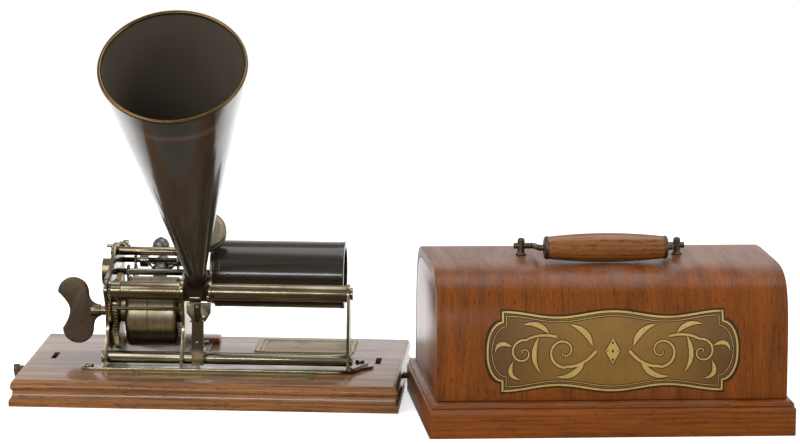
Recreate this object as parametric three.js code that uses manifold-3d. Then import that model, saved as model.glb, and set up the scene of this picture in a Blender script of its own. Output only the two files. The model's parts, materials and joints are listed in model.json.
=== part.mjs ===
import * as THREE from 'three';
import { mergeVertices } from 'three/addons/utils/BufferGeometryUtils.js';
import Module from 'manifold-3d';

const wasm = await Module();
wasm.setup();

// A spring-driven cylinder phonograph on an oak base, with its arched oak lid set down beside it.
// Lengths are millimetres. X runs to the right, Y to the back and Z up.
// The origin is the centre of the base's underside. Places in the mechanism are { y, z } pairs.

// Fits, cuts and facets
const runGap = 0.3;
const seatGap = 0.15;
const overrun = 2;
const mergeReach = 1e-4;
const fineSides = 36;
const roundSides = 20;
const rodSides = 12;
const pinSides = 8;
const discSides = 24;
const drumSides = 30;
const curveSteps = 5;
const leafSteps = 4;

// Base board and its moulded edge
const baseLength = 313.4;
const baseDepth = 218;
const baseHeight = 21.6;
const baseEdgeInset = 5;
const baseStripWidth = 14;
const baseEdgeShares = [[0, 0], [0, 0.24], [0.56, 0.57], [0.24, 0.66], [0.24, 0.8], [0.6, 0.92], [1, 1]];

// Latches in the ends of the base
const slotLength = 28;
const slotWidth = 4.6;
const slotFromEnd = 22.3;
const slotDepth = 19.8;
const latchY = 3;
const latchHeight = 10;
const latchStemRadius = 2.6;
const latchTabThickness = 3.3;
const latchTabReach = 14.8;
const latchTabRadius = 6;
const latchTabTail = 3.7;
const latchHookReach = 7.6;
const latchHookRadius = 2.4;
const latchHookThickness = 3.4;
const leftLatchStandoff = 9.2;
const rightLatchStandoff = 5.5;
const leftLatchTurn = 115;
const rightLatchTurn = 0;

// Plates and block on the base
const signThickness = 0.6;
const signCorner = 3;
const frontSignLeft = -60;
const frontSignRight = 87;
const frontSignDepth = 26.4;
const rearSignLeft = 28;
const rearSignRight = 112;
const rearSignFront = 34;
const rearSignBack = 93;
const cleatRight = -4;
const cleatLength = 86;
const cleatDepth = 19.5;
const cleatHeight = 5.4;

// Bedplate
const bedThickness = 2.4;
const bedLeftScrewX = -98.8;
const bedLeftScrewY = -54.5;
const bedLeftRadius = 6.5;
const bedRightScrewFromEnd = 35.7;
const bedRightScrewY = -28.7;
const bedRightRadius = 11.3;
const bedFrontCornerFromEnd = 51.7;
const bedRearScrewX = -15.6;
const bedRearScrewY = 58.5;
const bedRearRadius = 7;
const screwHeadRadius = 4;
const screwHeadHeight = 2.2;
const screwSlotWidth = 1;
const screwSlotDepth = 1;
const screwShankRadius = 1.8;
const screwShankLength = 12;

// Frame plates of the motor
const leftPlateX = -86.5;
const leftPlateThickness = 2.9;
const rightPlateX = -24.3;
const rightPlateThickness = 2.8;
const plateRearY = 63;
const plateWaistY = -27;
const plateWindowRadius = 5;
const plateWindowFront = 36;
const plateWindowRear = 54;
const plateWindowLow = 36;
const plateWindowHigh = 54;
const speedLobeRadius = 4;
const tubeLobeRadius = 9.8;
const tieLobeRadius = 6.7;
const railLobeRadius = 8;
const governorLobeEndShare = 0.6;
const speedLobeShares = [0.3, 1.2];
const tieLobeShares = [0.9, 1.5];

// Centres of the shafts and rods, seen along X
const drum = { y: -10, z: 62.5 };
const shaft = { y: 20, z: 90.3 };
const governor = { y: 50, z: 95.5 };
const screw = { y: -50, z: 86.5 };
const rail = { y: -50, z: 31.4 };
const tie = { y: 10.5, z: 109.3 };
const speed = { y: 50, z: 107 };

// Gear train
const gearModule = 0.8;
const greatTeeth = 77;
const firstPinionTeeth = 12;
const secondTeeth = 50;
const shaftPinionTeeth = 14;
const thirdPinionTeeth = 12;
const thirdTeeth = 42;
const governorPinionTeeth = 12;
const feedPinionTeeth = 10;
const feedDriveTeeth = 27;
const feedTeeth = 16;
const addendumShare = 0.75;
const dedendumShare = 1.1;
const toothRootShare = 0.3;
const wheelGap = 0.5;
const outerWheelWidth = 1.8;
const greatWheelWidth = 3.7;
const secondWheelWidth = 2.1;
const thirdWheelWidth = 2;

// Spring barrel, winding arbor and key
const barrelLength = 42.9;
const barrelRadius = 28.8;
const barrelWall = 1.8;
const barrelEnd = 2.4;
const barrelRound = 4.5;
const barrelHubRadius = 9;
const windingRadius = 4;
const springTurns = 6;
const springStepsPerTurn = 10;
const springThickness = 0.7;
const springClearance = 0.8;
const ratchetTeeth = 14;
const ratchetRadius = 11;
const ratchetDepth = 1.9;
const clickY = 13;
const clickZ = 46;
const clickEyeRadius = 3;
const clickPinRadius = 1.5;
const clickNoseRadius = 1.1;
const clickNoseAngle = -20;
const keyHubRadius = 7;
const keyHubLeft = -103;
const keyHubLength = 8.3;
const keyThickness = 4;
const keyWaistX = -120.4;
const keyLobeWidth = 12.9;
const keyLobeHeight = 12.5;
const keyLobeRise = 15;
const keyUpperX = -117.4;
const keyLowerX = -113.4;

// Shafts between the plates
const shaftRadius = 2.8;
const shaftBossRadius = 11;
const shaftBossLength = 10;
const shaftBossCap = 1.5;
const shaftBearingRadius = 9;
const shaftBearingLength = 7.5;
const arborRadius = 2;
const feedArborRadius = 1.5;
const tieRadius = 3.7;
const tieEndRadius = 2.2;
const nutThickness = 2.2;
const tieNutRadius = 4.3;

// Governor
const spindleRadius = 2.2;
const governorCollarRadius = 6;
const governorCollarLeft = -69;
const governorCollarLength = 7;
const governorSleeveLeft = -38;
const governorSleeveLength = 10.5;
const governorSleeveRadius = 5;
const governorFlangeRadius = 8;
const governorFlangeWidth = 1.8;
const brakeDiscRadius = 11;
const brakeDiscWidth = 1.8;
const weightRadius = 7.25;
const weightOrbit = 12.5;
const weightCount = 3;
const weightX = -51.5;
const weightTurn = 8;
const leafThickness = 0.8;
const leafWidth = 4;
const leafFoot = 1.2;

// Speed screw and stop lever
const speedPinRadius = 1.4;
const speedPinLeft = -97.5;
const speedPinRight = -77.5;
const speedKnobRadius = 5.4;
const speedKnobWidth = 4.4;
const stopPivotY = 56;
const stopPivotZ = 70;
const stopPadGap = 0.4;
const stopWidth = 2.6;
const stopEyeRadius = 3;
const stopPadRadius = 1.6;
const stopHandleY = 73;
const stopHandleZ = 57;
const stopPinRadius = 1.5;

// Guide rod, guide tube, feed screw and the bracket at their right end
const railRadius = 5;
const railJournalRadius = 3;
const railNutRadius = 5.2;
const tubeRadius = 6.75;
const tubeBore = 5;
const tubeSlotWidth = 4;
const leftTubeRadius = 7.5;
const feedCollarLength = 7.7;
const feedScrewRadius = 3.4;
const feedCapRadius = 5;
const feedCapThickness = 2;
const bracketFromEnd = 45;
const bracketThickness = 2.4;
const bracketTopRadius = 7.8;
const bracketFootBack = -24;
const bracketFootRadius = 7;
const bracketCorner = 3;

// Carriage
const sleeveLeft = -19.4;
const sleeveRight = 1.4;
const sleeveRadius = 8.3;
const sleeveFlangeRadius = 9;
const sleeveFlangeWidth = 3.6;
const nutLeft = -14;
const nutRight = -4;
const armLeft = -13.9;
const armRight = -4.2;
const armFront = -62.5;
const armThickness = 2.6;
const shieldLeft = -18.1;
const shieldRight = 1.6;
const shieldTop = 79;
const shieldShoulder = 71;
const shieldWaist = 64;
const shieldWaistLeft = -13.4;
const shieldWaistRight = -2.5;
const shoeTop = 38.7;
const shoeBottom = 27.6;
const shoeBack = -43.6;
const armKnobX = -3.6;
const armKnobZ = 67.5;
const armKnobRadius = 2;
const armKnobLength = 5;

// Lifting joint: pin, strap and the block that carries the neck and the horn
const pinY = -61;
const pinZ = 83.1;
const pinRadius = 1.6;
const pinLeft = -20.2;
const pinRight = 0;
const lugRadius = 3.7;
const lugLeft = -15.5;
const lugRight = -6.6;
const lugClearance = 0.9;
const liftRange = 30;
const liftSteps = 4;
const blockLeft = -20.6;
const blockRight = -1.7;
const blockFrontY = -65.4;
const blockBackY = -39.2;
const blockTop = 98.5;
const blockBackSkirt = 91;
const blockFrontSkirt = 81;
const blockChamfer = 3;
const strapLeft = -12;
const strapRight = -6.6;
const strapTop = 79;
const strapBottom = 63.5;
const strapThickness = 1.9;

// Horn
const hornX = -10.3;
const hornFootY = -55;
const hornFootZ = 93;
const hornRise = 48;
const hornLength = 263.5;
const hornMouthRadius = 56.5;
const hornRootRadius = 5.8;
const hornFlareShare = 1.08;
const hornWall = 1;
const hornFerruleRadius = 7.6;
const hornFerruleStart = 6;
const hornFerruleEnd = 15;
const hornRings = 5;
const collarRadius = 9.6;
const collarStart = 2.6;
const collarEnd = 13;
const collarBore = 5;
const rimRadius = 1.6;
const beadSides = 6;

// Neck and reproducer
const neckRadius = 4.5;
const neckBore = 3;
const neckX = -10;
const neckBossRadius = 6.4;
const neckEnd = { y: -43.6, z: 104.4 };
const neckBends = [
  { y: -15.5, z: 138.2 },
  { y: -25.5, z: 134.4 },
  { y: -35.4, z: 122 },
];
const neckSteps = 12;
const passageRadius = 2.25;
const discFront = { y: -4, z: 131.2 };
const discTilt = 41.5;
const discRadius = 18.2;
const discThickness = 10.6;
const discRound = 2.6;
const discBossRadius = 6.4;
const discBossLength = 4;
const discSocketDepth = 3.4;
const diaphragmRadius = 15;
const diaphragmThickness = 0.8;
const chamberDepth = 1.2;
const chamberRadius = 13.5;
const discRecessDepth = 2;
const stylusPivotShare = 0.92;
const stylusOffset = -4.5;
const stylusBarStandoff = 3.2;
const stylusBarThickness = 1.4;
const stylusBarWidth = 3;
const stylusRadius = 0.8;
const stylusGap = 0.35;
const stylusEarWidth = 2;
const stylusEarRadius = 1.8;
const stylusEarRoot = 3;
const stylusBarTail = 1;

// Mandrel and record cylinder
const mandrelLeft = -5.6;
const mandrelRight = 101.5;
const mandrelRadius = 23.4;
const mandrelTaper = 0.8;
const mandrelWall = 2;
const mandrelFlangeRadius = 25.5;
const mandrelFlangeWidth = 2.6;
const mandrelWebWidth = 4;
const mandrelHubRadius = 6.5;
const mandrelHubRight = 42;
const shaftRight = 39;
const recordLeft = -2.6;
const recordLength = 108;
const recordRadius = 27.8;
const recordRound = 1;

// Lid, in its own frame from the front left corner of its plinth
const lidFromBase = 29.8;
const lidAheadOfBase = 97.5;
const lidTurn = 8;
const lidLength = 287;
const lidDepth = 200;
const lidHeight = 128.4;
const lidPlinthHeight = 27.7;
const lidInsetX = 6.1;
const lidInsetY = 7.5;
const lidWall = 8;
const lidEndThickness = 8;
const lidArchPower = 5.2;
const lidArchSteps = 28;
const lidEdgeShares = [[0, 0], [0, 0.77], [0.32, 0.82], [0.24, 0.9], [0.62, 0.96], [1, 1]];
const eyeSpan = 62.5;
const eyeY = 98;
const eyeZ = 136;
const eyeTop = 142.5;
const eyeRadius = 4.6;
const eyeFlangeRadius = 8;
const eyeFlangeThickness = 1.6;
const bailRadius = 2.4;
const bailHalfLength = 68.5;
const bailArmX = 52.4;
const bailReach = 38;
const bailBend = 4.6;
const bailBendSteps = 4;
const gripHalfLength = 49;
const gripRadius = 11.5;
const gripEndRadius = 8.5;
const gripStations = 8;

// Working sizes that follow from the ones above
const baseEnd = baseLength / 2;
const baseFront = -baseDepth / 2;
const slotFromMiddle = baseEnd - slotFromEnd;
const bedRightScrewX = baseEnd - bedRightScrewFromEnd;
const bedFrontCornerX = baseEnd - bedFrontCornerFromEnd;
const bracketX = baseEnd - bracketFromEnd;
const lidX = baseEnd + lidFromBase;
const lidY = baseFront - lidAheadOfBase;
const bedTop = baseHeight + bedThickness;
const motorLeft = leftPlateX + leftPlateThickness;
const rightPlateRight = rightPlateX + rightPlateThickness;
const bracketRight = bracketX + bracketThickness;
const outerWheelX = motorLeft + wheelGap;
const greatWheelX = outerWheelX + outerWheelWidth + wheelGap;
const secondWheelX = greatWheelX + greatWheelWidth + wheelGap;
const thirdWheelX = secondWheelX + secondWheelWidth + wheelGap;
const barrelLeft = thirdWheelX + thirdWheelWidth + wheelGap;
const barrelRight = barrelLeft + barrelLength;
const lift = { y: pinY, z: pinZ };
const degrees = Math.PI / 180;
const fullTurn = 2 * Math.PI;

// Directions in the plane seen along X
function heading(angle) {
  return { y: Math.cos(angle), z: Math.sin(angle) };
}

function offset(place, direction, distance) {
  return { y: place.y + direction.y * distance, z: place.z + direction.z * distance };
}

function angleOf(from, to) {
  return Math.atan2(to.z - from.z, to.y - from.y);
}

function distanceOf(from, to) {
  return Math.hypot(to.y - from.y, to.z - from.z);
}

// The place at one distance from one centre and another distance from a second centre
function meetingPlace(first, firstReach, second, secondReach, side) {
  const apart = distanceOf(first, second);
  const along = (firstReach ** 2 - secondReach ** 2 + apart ** 2) / (2 * apart);
  const aside = Math.sqrt(firstReach ** 2 - along ** 2) * side;
  const line = angleOf(first, second);
  return offset(offset(first, heading(line), along), heading(line + Math.PI / 2), aside);
}

// Closed solids and booleans
function solidOf(geometry) {
  const bare = new THREE.BufferGeometry();
  bare.setAttribute('position', geometry.getAttribute('position').clone());
  if (geometry.index) bare.setIndex(geometry.index.clone());
  const merged = mergeVertices(bare, mergeReach);
  const corners = merged.index.array;
  const kept = [];
  for (let i = 0; i < corners.length; i += 3) {
    const [a, b, c] = corners.slice(i, i + 3);
    if (a !== b && b !== c && c !== a) kept.push(a, b, c);
  }
  const vertProperties = new Float32Array(merged.getAttribute('position').array);
  return new wasm.Manifold(new wasm.Mesh({ numProp: 3, vertProperties, triVerts: Uint32Array.from(kept) }));
}

function geometryOf(solid) {
  const mesh = solid.getMesh();
  const geometry = new THREE.BufferGeometry();
  geometry.setAttribute('position', new THREE.BufferAttribute(new Float32Array(mesh.vertProperties), 3));
  geometry.setIndex(new THREE.BufferAttribute(new Uint32Array(mesh.triVerts), 1));
  return geometry;
}

function join(...geometries) {
  return geometryOf(geometries.map(solidOf).reduce((whole, next) => whole.add(next)));
}

function cut(geometry, ...tools) {
  return geometryOf(tools.map(solidOf).reduce((rest, tool) => rest.subtract(tool), solidOf(geometry)));
}

// Outlines
function circle(centreA, centreB, radius, sides) {
  const points = [];
  for (let i = 0; i < sides; i += 1) {
    const angle = (i / sides) * fullTurn;
    points.push(new THREE.Vector2(centreA + radius * Math.cos(angle), centreB + radius * Math.sin(angle)));
  }
  return points;
}

function circleAt(centre, radius, sides) {
  return circle(centre.y, centre.z, radius, sides);
}

// The outline of a belt drawn round several circles, each [a, b, radius]
function belt(circles, sides = roundSides) {
  const points = circles.flatMap(([a, b, radius]) => circle(a, b, radius, sides));
  points.sort((p, q) => p.x - q.x || p.y - q.y);
  const turn = (o, p, q) => (p.x - o.x) * (q.y - o.y) - (p.y - o.y) * (q.x - o.x);
  const halfHull = (ordered) => {
    const chain = [];
    for (const point of ordered) {
      while (chain.length > 1 && turn(chain.at(-2), chain.at(-1), point) <= mergeReach) chain.pop();
      chain.push(point);
    }
    return chain.slice(0, -1);
  };
  return [...halfHull(points), ...halfHull(points.toReversed())];
}

function rectangle(aLow, aHigh, bLow, bHigh) {
  const corners = [[aLow, bLow], [aHigh, bLow], [aHigh, bHigh], [aLow, bHigh]];
  return corners.map(([a, b]) => new THREE.Vector2(a, b));
}

// Plates with an outline in one plane and a thickness along the third axis
function extruded(outline, holes, thickness) {
  const shape = new THREE.Shape(outline);
  shape.holes = holes.map((hole) => new THREE.Path(hole));
  return new THREE.ExtrudeGeometry(shape, { depth: thickness, bevelEnabled: false });
}

const yzToWorld = new THREE.Matrix4().set(0, 0, 1, 0, 1, 0, 0, 0, 0, 1, 0, 0, 0, 0, 0, 1);

function plateX(outline, left, right, holes = []) {
  return extruded(outline, holes, right - left).applyMatrix4(yzToWorld).translate(left, 0, 0);
}

function plateY(outline, front, back, holes = []) {
  return extruded(outline, holes, back - front).rotateX(Math.PI / 2).translate(0, back, 0);
}

function plateZ(outline, bottom, top, holes = []) {
  return extruded(outline, holes, top - bottom).translate(0, 0, bottom);
}

function box(left, right, front, back, bottom, top) {
  return plateZ(rectangle(left, right, front, back), bottom, top);
}

// Turned pieces, from [station, radius] pairs, along X through a centre
function turned(profile, sides) {
  const points = profile.map(([station, radius]) => new THREE.Vector2(radius, station));
  if (THREE.ShapeUtils.area(points) < 0) points.reverse();
  return new THREE.LatheGeometry([...points, points[0]], sides);
}

function turnedX(profile, centre, sides) {
  return turned(profile, sides).rotateZ(-Math.PI / 2).translate(0, centre.y, centre.z);
}

function rod(left, right, centre, radius, sides = rodSides) {
  return turnedX([[left, 0], [left, radius], [right, radius], [right, 0]], centre, sides);
}

// A stepped rod from a list of [right end, radius] after its left end
function steppedRod(left, steps, centre, sides = rodSides) {
  const profile = [[left, 0]];
  let station = left;
  for (const [right, radius] of steps) {
    profile.push([station, radius], [right, radius]);
    station = right;
  }
  return turnedX([...profile, [station, 0]], centre, sides);
}

function sleeve(left, right, centre, bore, radius, sides = roundSides) {
  return turnedX([[left, bore], [left, radius], [right, radius], [right, bore]], centre, sides);
}

// A turned piece along a slanted axis in the plane seen along X
function turnedSlant(profile, x, foot, angle, sides) {
  return turned(profile, sides).rotateX(angle).translate(x, foot.y, foot.z);
}

// A round tube along a smooth path
function tube(points, radius, steps, sides) {
  const path = new THREE.CatmullRomCurve3(points, false, 'centripetal');
  const section = new THREE.Shape(circle(0, 0, radius, sides));
  return new THREE.ExtrudeGeometry(section, { steps, extrudePath: path, bevelEnabled: false });
}

// A path that goes straight from each of its points to the next, one point per step
class SteppedPath extends THREE.Curve {
  constructor(points) {
    super();
    this.points = points;
  }

  getPoint(share, target = new THREE.Vector3()) {
    const place = share * (this.points.length - 1);
    const before = Math.min(Math.floor(place), this.points.length - 2);
    return target.lerpVectors(this.points[before], this.points[before + 1], place - before);
  }

  getPointAt(share, target) {
    return this.getPoint(share, target);
  }

  getTangentAt(share, target) {
    return this.getTangent(share, target);
  }
}

// A round rod through corners, each rounded over the same distance
function bentRod(corners, bend, radius, bendSteps, sides) {
  const points = [corners[0]];
  for (let i = 1; i + 1 < corners.length; i += 1) {
    const toward = (other) => corners[i].clone().add(other.clone().sub(corners[i]).setLength(bend));
    const curve = new THREE.QuadraticBezierCurve3(toward(corners[i - 1]), corners[i], toward(corners[i + 1]));
    points.push(...curve.getPoints(bendSteps));
  }
  points.push(corners.at(-1));
  const section = new THREE.Shape(circle(0, 0, radius, sides));
  const extrudePath = new SteppedPath(points);
  return new THREE.ExtrudeGeometry(section, { steps: points.length - 1, extrudePath, bevelEnabled: false });
}

// A solid through rectangles of equal make, each [inset x, inset y, z], on a length and a depth
function rectangleStack(length, depth, levels) {
  const positions = [];
  for (const [insetX, insetY, z] of levels) {
    positions.push(insetX, insetY, z, length - insetX, insetY, z);
    positions.push(length - insetX, depth - insetY, z, insetX, depth - insetY, z);
  }
  const index = [0, 2, 1, 0, 3, 2];
  for (let level = 0; level + 1 < levels.length; level += 1) {
    for (let side = 0; side < 4; side += 1) {
      const low = level * 4 + side;
      const next = level * 4 + ((side + 1) % 4);
      index.push(low, next, next + 4, low, next + 4, low + 4);
    }
  }
  const top = (levels.length - 1) * 4;
  index.push(top, top + 1, top + 2, top, top + 2, top + 3);
  const geometry = new THREE.BufferGeometry();
  geometry.setAttribute('position', new THREE.Float32BufferAttribute(positions, 3));
  geometry.setIndex(index);
  return geometry;
}

// Finishes
function finish(color, roughness, metalness) {
  return new THREE.MeshStandardMaterial({ color, roughness, metalness });
}

const baseOak = finish('#8a5a33', 0.5, 0);
const lidOak = finish('#85552a', 0.35, 0);
const gripOak = finish('#7a4a24', 0.45, 0);
const nickel = finish('#8c8468', 0.35, 0.9);
const steel = finish('#77736a', 0.35, 0.9);
const darkMetal = finish('#4a4036', 0.5, 0.8);
const copperBrown = finish('#6b4630', 0.45, 0.8);
const brass = finish('#a88a5a', 0.35, 0.9);
const blackPaint = finish('#2c2722', 0.3, 0.1);
const governorMetal = finish('#6a7264', 0.45, 0.85);
const wax = finish('#3c3830', 0.35, 0);
const signMetal = finish('#7d7460', 0.5, 0.7);
const mica = finish('#c9c2ad', 0.2, 0);

const phonograph = new THREE.Group();
const lid = new THREE.Group();
lid.position.set(lidX, lidY, 0);
lid.rotation.z = lidTurn * degrees;
phonograph.add(lid);

function add(name, geometry, material, holder = phonograph) {
  const mesh = new THREE.Mesh(geometryOf(solidOf(geometry)), material);
  mesh.name = name;
  holder.add(mesh);
}

// Base board with its two latch slots, and the moulded strip round it
function slotBox(side) {
  const middle = side * slotFromMiddle;
  const bottom = baseHeight - slotDepth;
  const left = middle - slotWidth / 2;
  const front = latchY - slotLength / 2;
  return box(left, left + slotWidth, front, front + slotLength, bottom, baseHeight + overrun);
}

function stemHole(side) {
  const reach = baseEnd + overrun;
  const start = side > 0 ? slotFromMiddle : -reach;
  const end = side > 0 ? reach : -slotFromMiddle;
  return rod(start, end, { y: latchY, z: latchHeight }, latchStemRadius + runGap);
}

const boardX = baseEnd - baseStripWidth - seatGap;
const boardY = baseDepth / 2 - baseStripWidth - seatGap;
const screwPlaces = [
  ['foot_screw_left', bedLeftScrewX, bedLeftScrewY, bedTop],
  ['rear_foot_screw', bedRearScrewX, bedRearScrewY, bedTop],
  ['bracket_screw', bedRightScrewX, bedRightScrewY, bedTop + bracketThickness],
];

function screwHole(x, y, top) {
  const depth = screwShankLength + seatGap;
  const radius = screwShankRadius + seatGap;
  const profile = [[-depth, 0], [-depth, radius], [overrun, radius], [overrun, 0]];
  return turnedSlant(profile, x, { y, z: top }, Math.PI / 2, rodSides);
}

const screwHoles = screwPlaces.map(([, x, y, top]) => screwHole(x, y, top));
const board = box(-boardX, boardX, -boardY, boardY, 0, baseHeight);
add('base_board', cut(board, slotBox(-1), slotBox(1), stemHole(-1), stemHole(1), ...screwHoles), baseOak);

const edgeLevels = baseEdgeShares.map(([inset, height]) => {
  return [inset * baseEdgeInset, inset * baseEdgeInset, height * baseHeight];
});
const stripInnerX = baseEnd - baseStripWidth;
const stripInnerY = baseDepth / 2 - baseStripWidth;
const stripBlock = rectangleStack(baseLength, baseDepth, edgeLevels).translate(-baseEnd, baseFront, 0);
const stripInside = box(-stripInnerX, stripInnerX, -stripInnerY, stripInnerY, -overrun, baseHeight + overrun);
add('base_moulding', cut(stripBlock, stripInside, stemHole(-1), stemHole(1)), baseOak);

// Latches: a thumb tab on a stem that turns a hook inside the slot
function latch(side, standoff, turn) {
  const centre = { y: latchY, z: latchHeight };
  const pointing = heading(Math.PI / 2 - turn * degrees);
  const tabEnd = offset(centre, pointing, latchTabReach - latchTabRadius);
  const hookEnd = offset(centre, pointing, latchHookReach - latchHookRadius);
  const tabNear = side * (baseEnd + standoff);
  const tabFar = side * (baseEnd + standoff + latchTabThickness);
  const hookFar = side * slotFromMiddle - latchHookThickness / 2;
  const tabOutline = belt([[centre.y, centre.z, latchTabTail], [tabEnd.y, tabEnd.z, latchTabRadius]]);
  const hookCircles = [[centre.y, centre.z, latchStemRadius], [hookEnd.y, hookEnd.z, latchHookRadius]];
  const stemEnds = [side * slotFromMiddle, tabNear + (tabFar - tabNear) / 2].toSorted((a, b) => a - b);
  return join(
    plateX(tabOutline, Math.min(tabNear, tabFar), Math.max(tabNear, tabFar)),
    plateX(belt(hookCircles, rodSides), hookFar, hookFar + latchHookThickness),
    rod(stemEnds[0], stemEnds[1], centre, latchStemRadius),
  );
}

add('latch_left', latch(-1, leftLatchStandoff, leftLatchTurn), darkMetal);
add('latch_right', latch(1, rightLatchStandoff, rightLatchTurn), darkMetal);

// Bare metal plates let onto the wood, and the cleat behind the motor
const bedFront = bedLeftScrewY - bedLeftRadius;
const bedBack = bedRearScrewY + bedRearRadius;

function signPlate(left, right, front, back) {
  const corners = [
    [left + signCorner, front + signCorner, signCorner],
    [right - signCorner, front + signCorner, signCorner],
    [right - signCorner, back - signCorner, signCorner],
    [left + signCorner, back - signCorner, signCorner],
  ];
  return plateZ(belt(corners, rodSides), baseHeight, baseHeight + signThickness);
}

const frontSignBack = bedFront - runGap;
const frontSignFront = frontSignBack - frontSignDepth;
add('front_plate', signPlate(frontSignLeft, frontSignRight, frontSignFront, frontSignBack), signMetal);
add('rear_plate', signPlate(rearSignLeft, rearSignRight, rearSignFront, rearSignBack), signMetal);
const cleatFront = bedBack + runGap;
add('rear_cleat', box(
  cleatRight - cleatLength,
  cleatRight,
  cleatFront,
  cleatFront + cleatDepth,
  baseHeight,
  baseHeight + cleatHeight,
), baseOak);

// Bedplate: a long front strip and the pad under the motor, with its screws
const padLeft = leftPlateX - bedRearRadius / 2;
const bedStrip = belt([
  [bedLeftScrewX, bedLeftScrewY, bedLeftRadius],
  [bedFrontCornerX, bedFront + bedLeftRadius, bedLeftRadius],
  [bedRightScrewX, bedRightScrewY, bedRightRadius],
]);
const bedPad = belt([
  [padLeft + bedRearRadius, rail.y, bedRearRadius],
  [bedRearScrewX, rail.y, bedRearRadius],
  [bedRearScrewX, bedRearScrewY, bedRearRadius],
  [padLeft + bedRearRadius, bedRearScrewY, bedRearRadius],
]);
const bedBlank = join(plateZ(bedStrip, baseHeight, bedTop), plateZ(bedPad, baseHeight, bedTop));
add('bedplate', cut(bedBlank, ...screwHoles), nickel);

function slottedScrew(x, y, top) {
  const crown = screwHeadHeight - screwSlotDepth;
  const profile = [
    [-screwShankLength, 0],
    [-screwShankLength, screwShankRadius],
    [0, screwShankRadius],
    [0, screwHeadRadius],
    [crown, screwHeadRadius],
    [screwHeadHeight, screwHeadRadius - screwSlotDepth],
    [screwHeadHeight, 0],
  ];
  const head = turnedSlant(profile, x, { y, z: top }, Math.PI / 2, rodSides);
  const slotLeft = x - screwSlotWidth / 2;
  const slotBottom = top + screwHeadHeight - screwSlotDepth;
  const reach = screwHeadRadius + overrun;
  return cut(head, box(slotLeft, slotLeft + screwSlotWidth, y - reach, y + reach, slotBottom, top + reach));
}

for (const [name, x, y, top] of screwPlaces) add(name, slottedScrew(x, y, top), steel);

// Gear wheels: outlines with pointed teeth, each phased to mesh with the wheel before it
function pitchRadius(teeth) {
  return (gearModule * teeth) / 2;
}

function gearOutline(centre, teeth, phase) {
  const step = fullTurn / teeth;
  const tip = pitchRadius(teeth) + addendumShare * gearModule;
  const root = pitchRadius(teeth) - dedendumShare * gearModule;
  const corners = [[-toothRootShare, root], [0, tip], [toothRootShare, root]];
  const points = [];
  for (let tooth = 0; tooth < teeth; tooth += 1) {
    for (const [share, radius] of corners) {
      const place = offset(centre, heading(phase + (tooth + share) * step), radius);
      points.push(new THREE.Vector2(place.y, place.z));
    }
  }
  return points;
}

function meshPhase(from, to) {
  const line = angleOf(from.centre, to.centre);
  const ratio = from.teeth / to.teeth;
  return line + Math.PI - ratio * (from.phase - line) - Math.PI / to.teeth;
}

function gear(wheel, left, width, bore) {
  const holes = bore ? [circleAt(wheel.centre, bore, rodSides)] : [];
  return plateX(gearOutline(wheel.centre, wheel.teeth, wheel.phase), left, left + width, holes);
}

function reachOf(teethA, teethB) {
  return pitchRadius(teethA + teethB);
}

const second = meetingPlace(
  drum,
  reachOf(greatTeeth, firstPinionTeeth),
  shaft,
  reachOf(secondTeeth, shaftPinionTeeth),
  -1,
);
const third = meetingPlace(
  second,
  reachOf(secondTeeth, thirdPinionTeeth),
  governor,
  reachOf(thirdTeeth, governorPinionTeeth),
  -1,
);
const feedDrive = meetingPlace(
  drum,
  reachOf(greatTeeth, feedPinionTeeth),
  screw,
  reachOf(feedDriveTeeth, feedTeeth),
  1,
);

function meshed(from, centre, teeth) {
  const to = { centre, teeth };
  return { ...to, phase: meshPhase(from, to) };
}

const greatWheel = { centre: drum, teeth: greatTeeth, phase: 0 };
const firstPinion = meshed(greatWheel, second, firstPinionTeeth);
const secondWheel = { centre: second, teeth: secondTeeth, phase: 0 };
const shaftPinion = meshed(secondWheel, shaft, shaftPinionTeeth);
const thirdPinion = meshed(secondWheel, third, thirdPinionTeeth);
const thirdWheel = { centre: third, teeth: thirdTeeth, phase: 0 };
const governorPinion = meshed(thirdWheel, governor, governorPinionTeeth);
const feedPinion = meshed(greatWheel, feedDrive, feedPinionTeeth);
const feedDriveWheel = { centre: feedDrive, teeth: feedDriveTeeth, phase: 0 };
const feedWheel = meshed(feedDriveWheel, screw, feedTeeth);

// Frame plates: one outline through the bearing lobes, with a hole for each shaft and rod
function frameOutline() {
  const quarter = Math.PI / 2;
  const shape = new THREE.Shape();
  const rearRadius = plateRearY - governor.y;
  const tubeLobeTop = { y: screw.y, z: screw.z + tubeLobeRadius };
  const railLobeFront = rail.y - railLobeRadius;
  shape.moveTo(railLobeFront, bedTop);
  shape.lineTo(plateRearY, bedTop);
  shape.lineTo(plateRearY, governor.z);
  const [speedStart, speedEnd] = speedLobeShares.map((share) => share * quarter);
  const [tieStart, tieEnd] = tieLobeShares.map((share) => share * quarter);
  shape.absarc(governor.y, governor.z, rearRadius, 0, governorLobeEndShare * quarter, false);
  shape.absarc(speed.y, speed.z, speedLobeRadius, speedStart, speedEnd, false);
  shape.absarc(tie.y, tie.z, tieLobeRadius, tieStart, tieEnd, false);
  shape.quadraticCurveTo(tubeLobeTop.y / 2, tubeLobeTop.z, tubeLobeTop.y, tubeLobeTop.z);
  shape.absarc(screw.y, screw.z, tubeLobeRadius, quarter, 2 * quarter, false);
  shape.quadraticCurveTo(plateWaistY, (screw.z + rail.z) / 2, railLobeFront, rail.z);
  shape.lineTo(railLobeFront, bedTop);
  return shape.getPoints(curveSteps);
}

function hole(centre, radius, sides = rodSides) {
  return circleAt(centre, radius, sides);
}

const windowOutline = belt([
  [plateWindowFront, plateWindowLow, plateWindowRadius],
  [plateWindowRear, plateWindowLow, plateWindowRadius],
  [plateWindowRear, plateWindowHigh, plateWindowRadius],
], pinSides);

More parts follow.
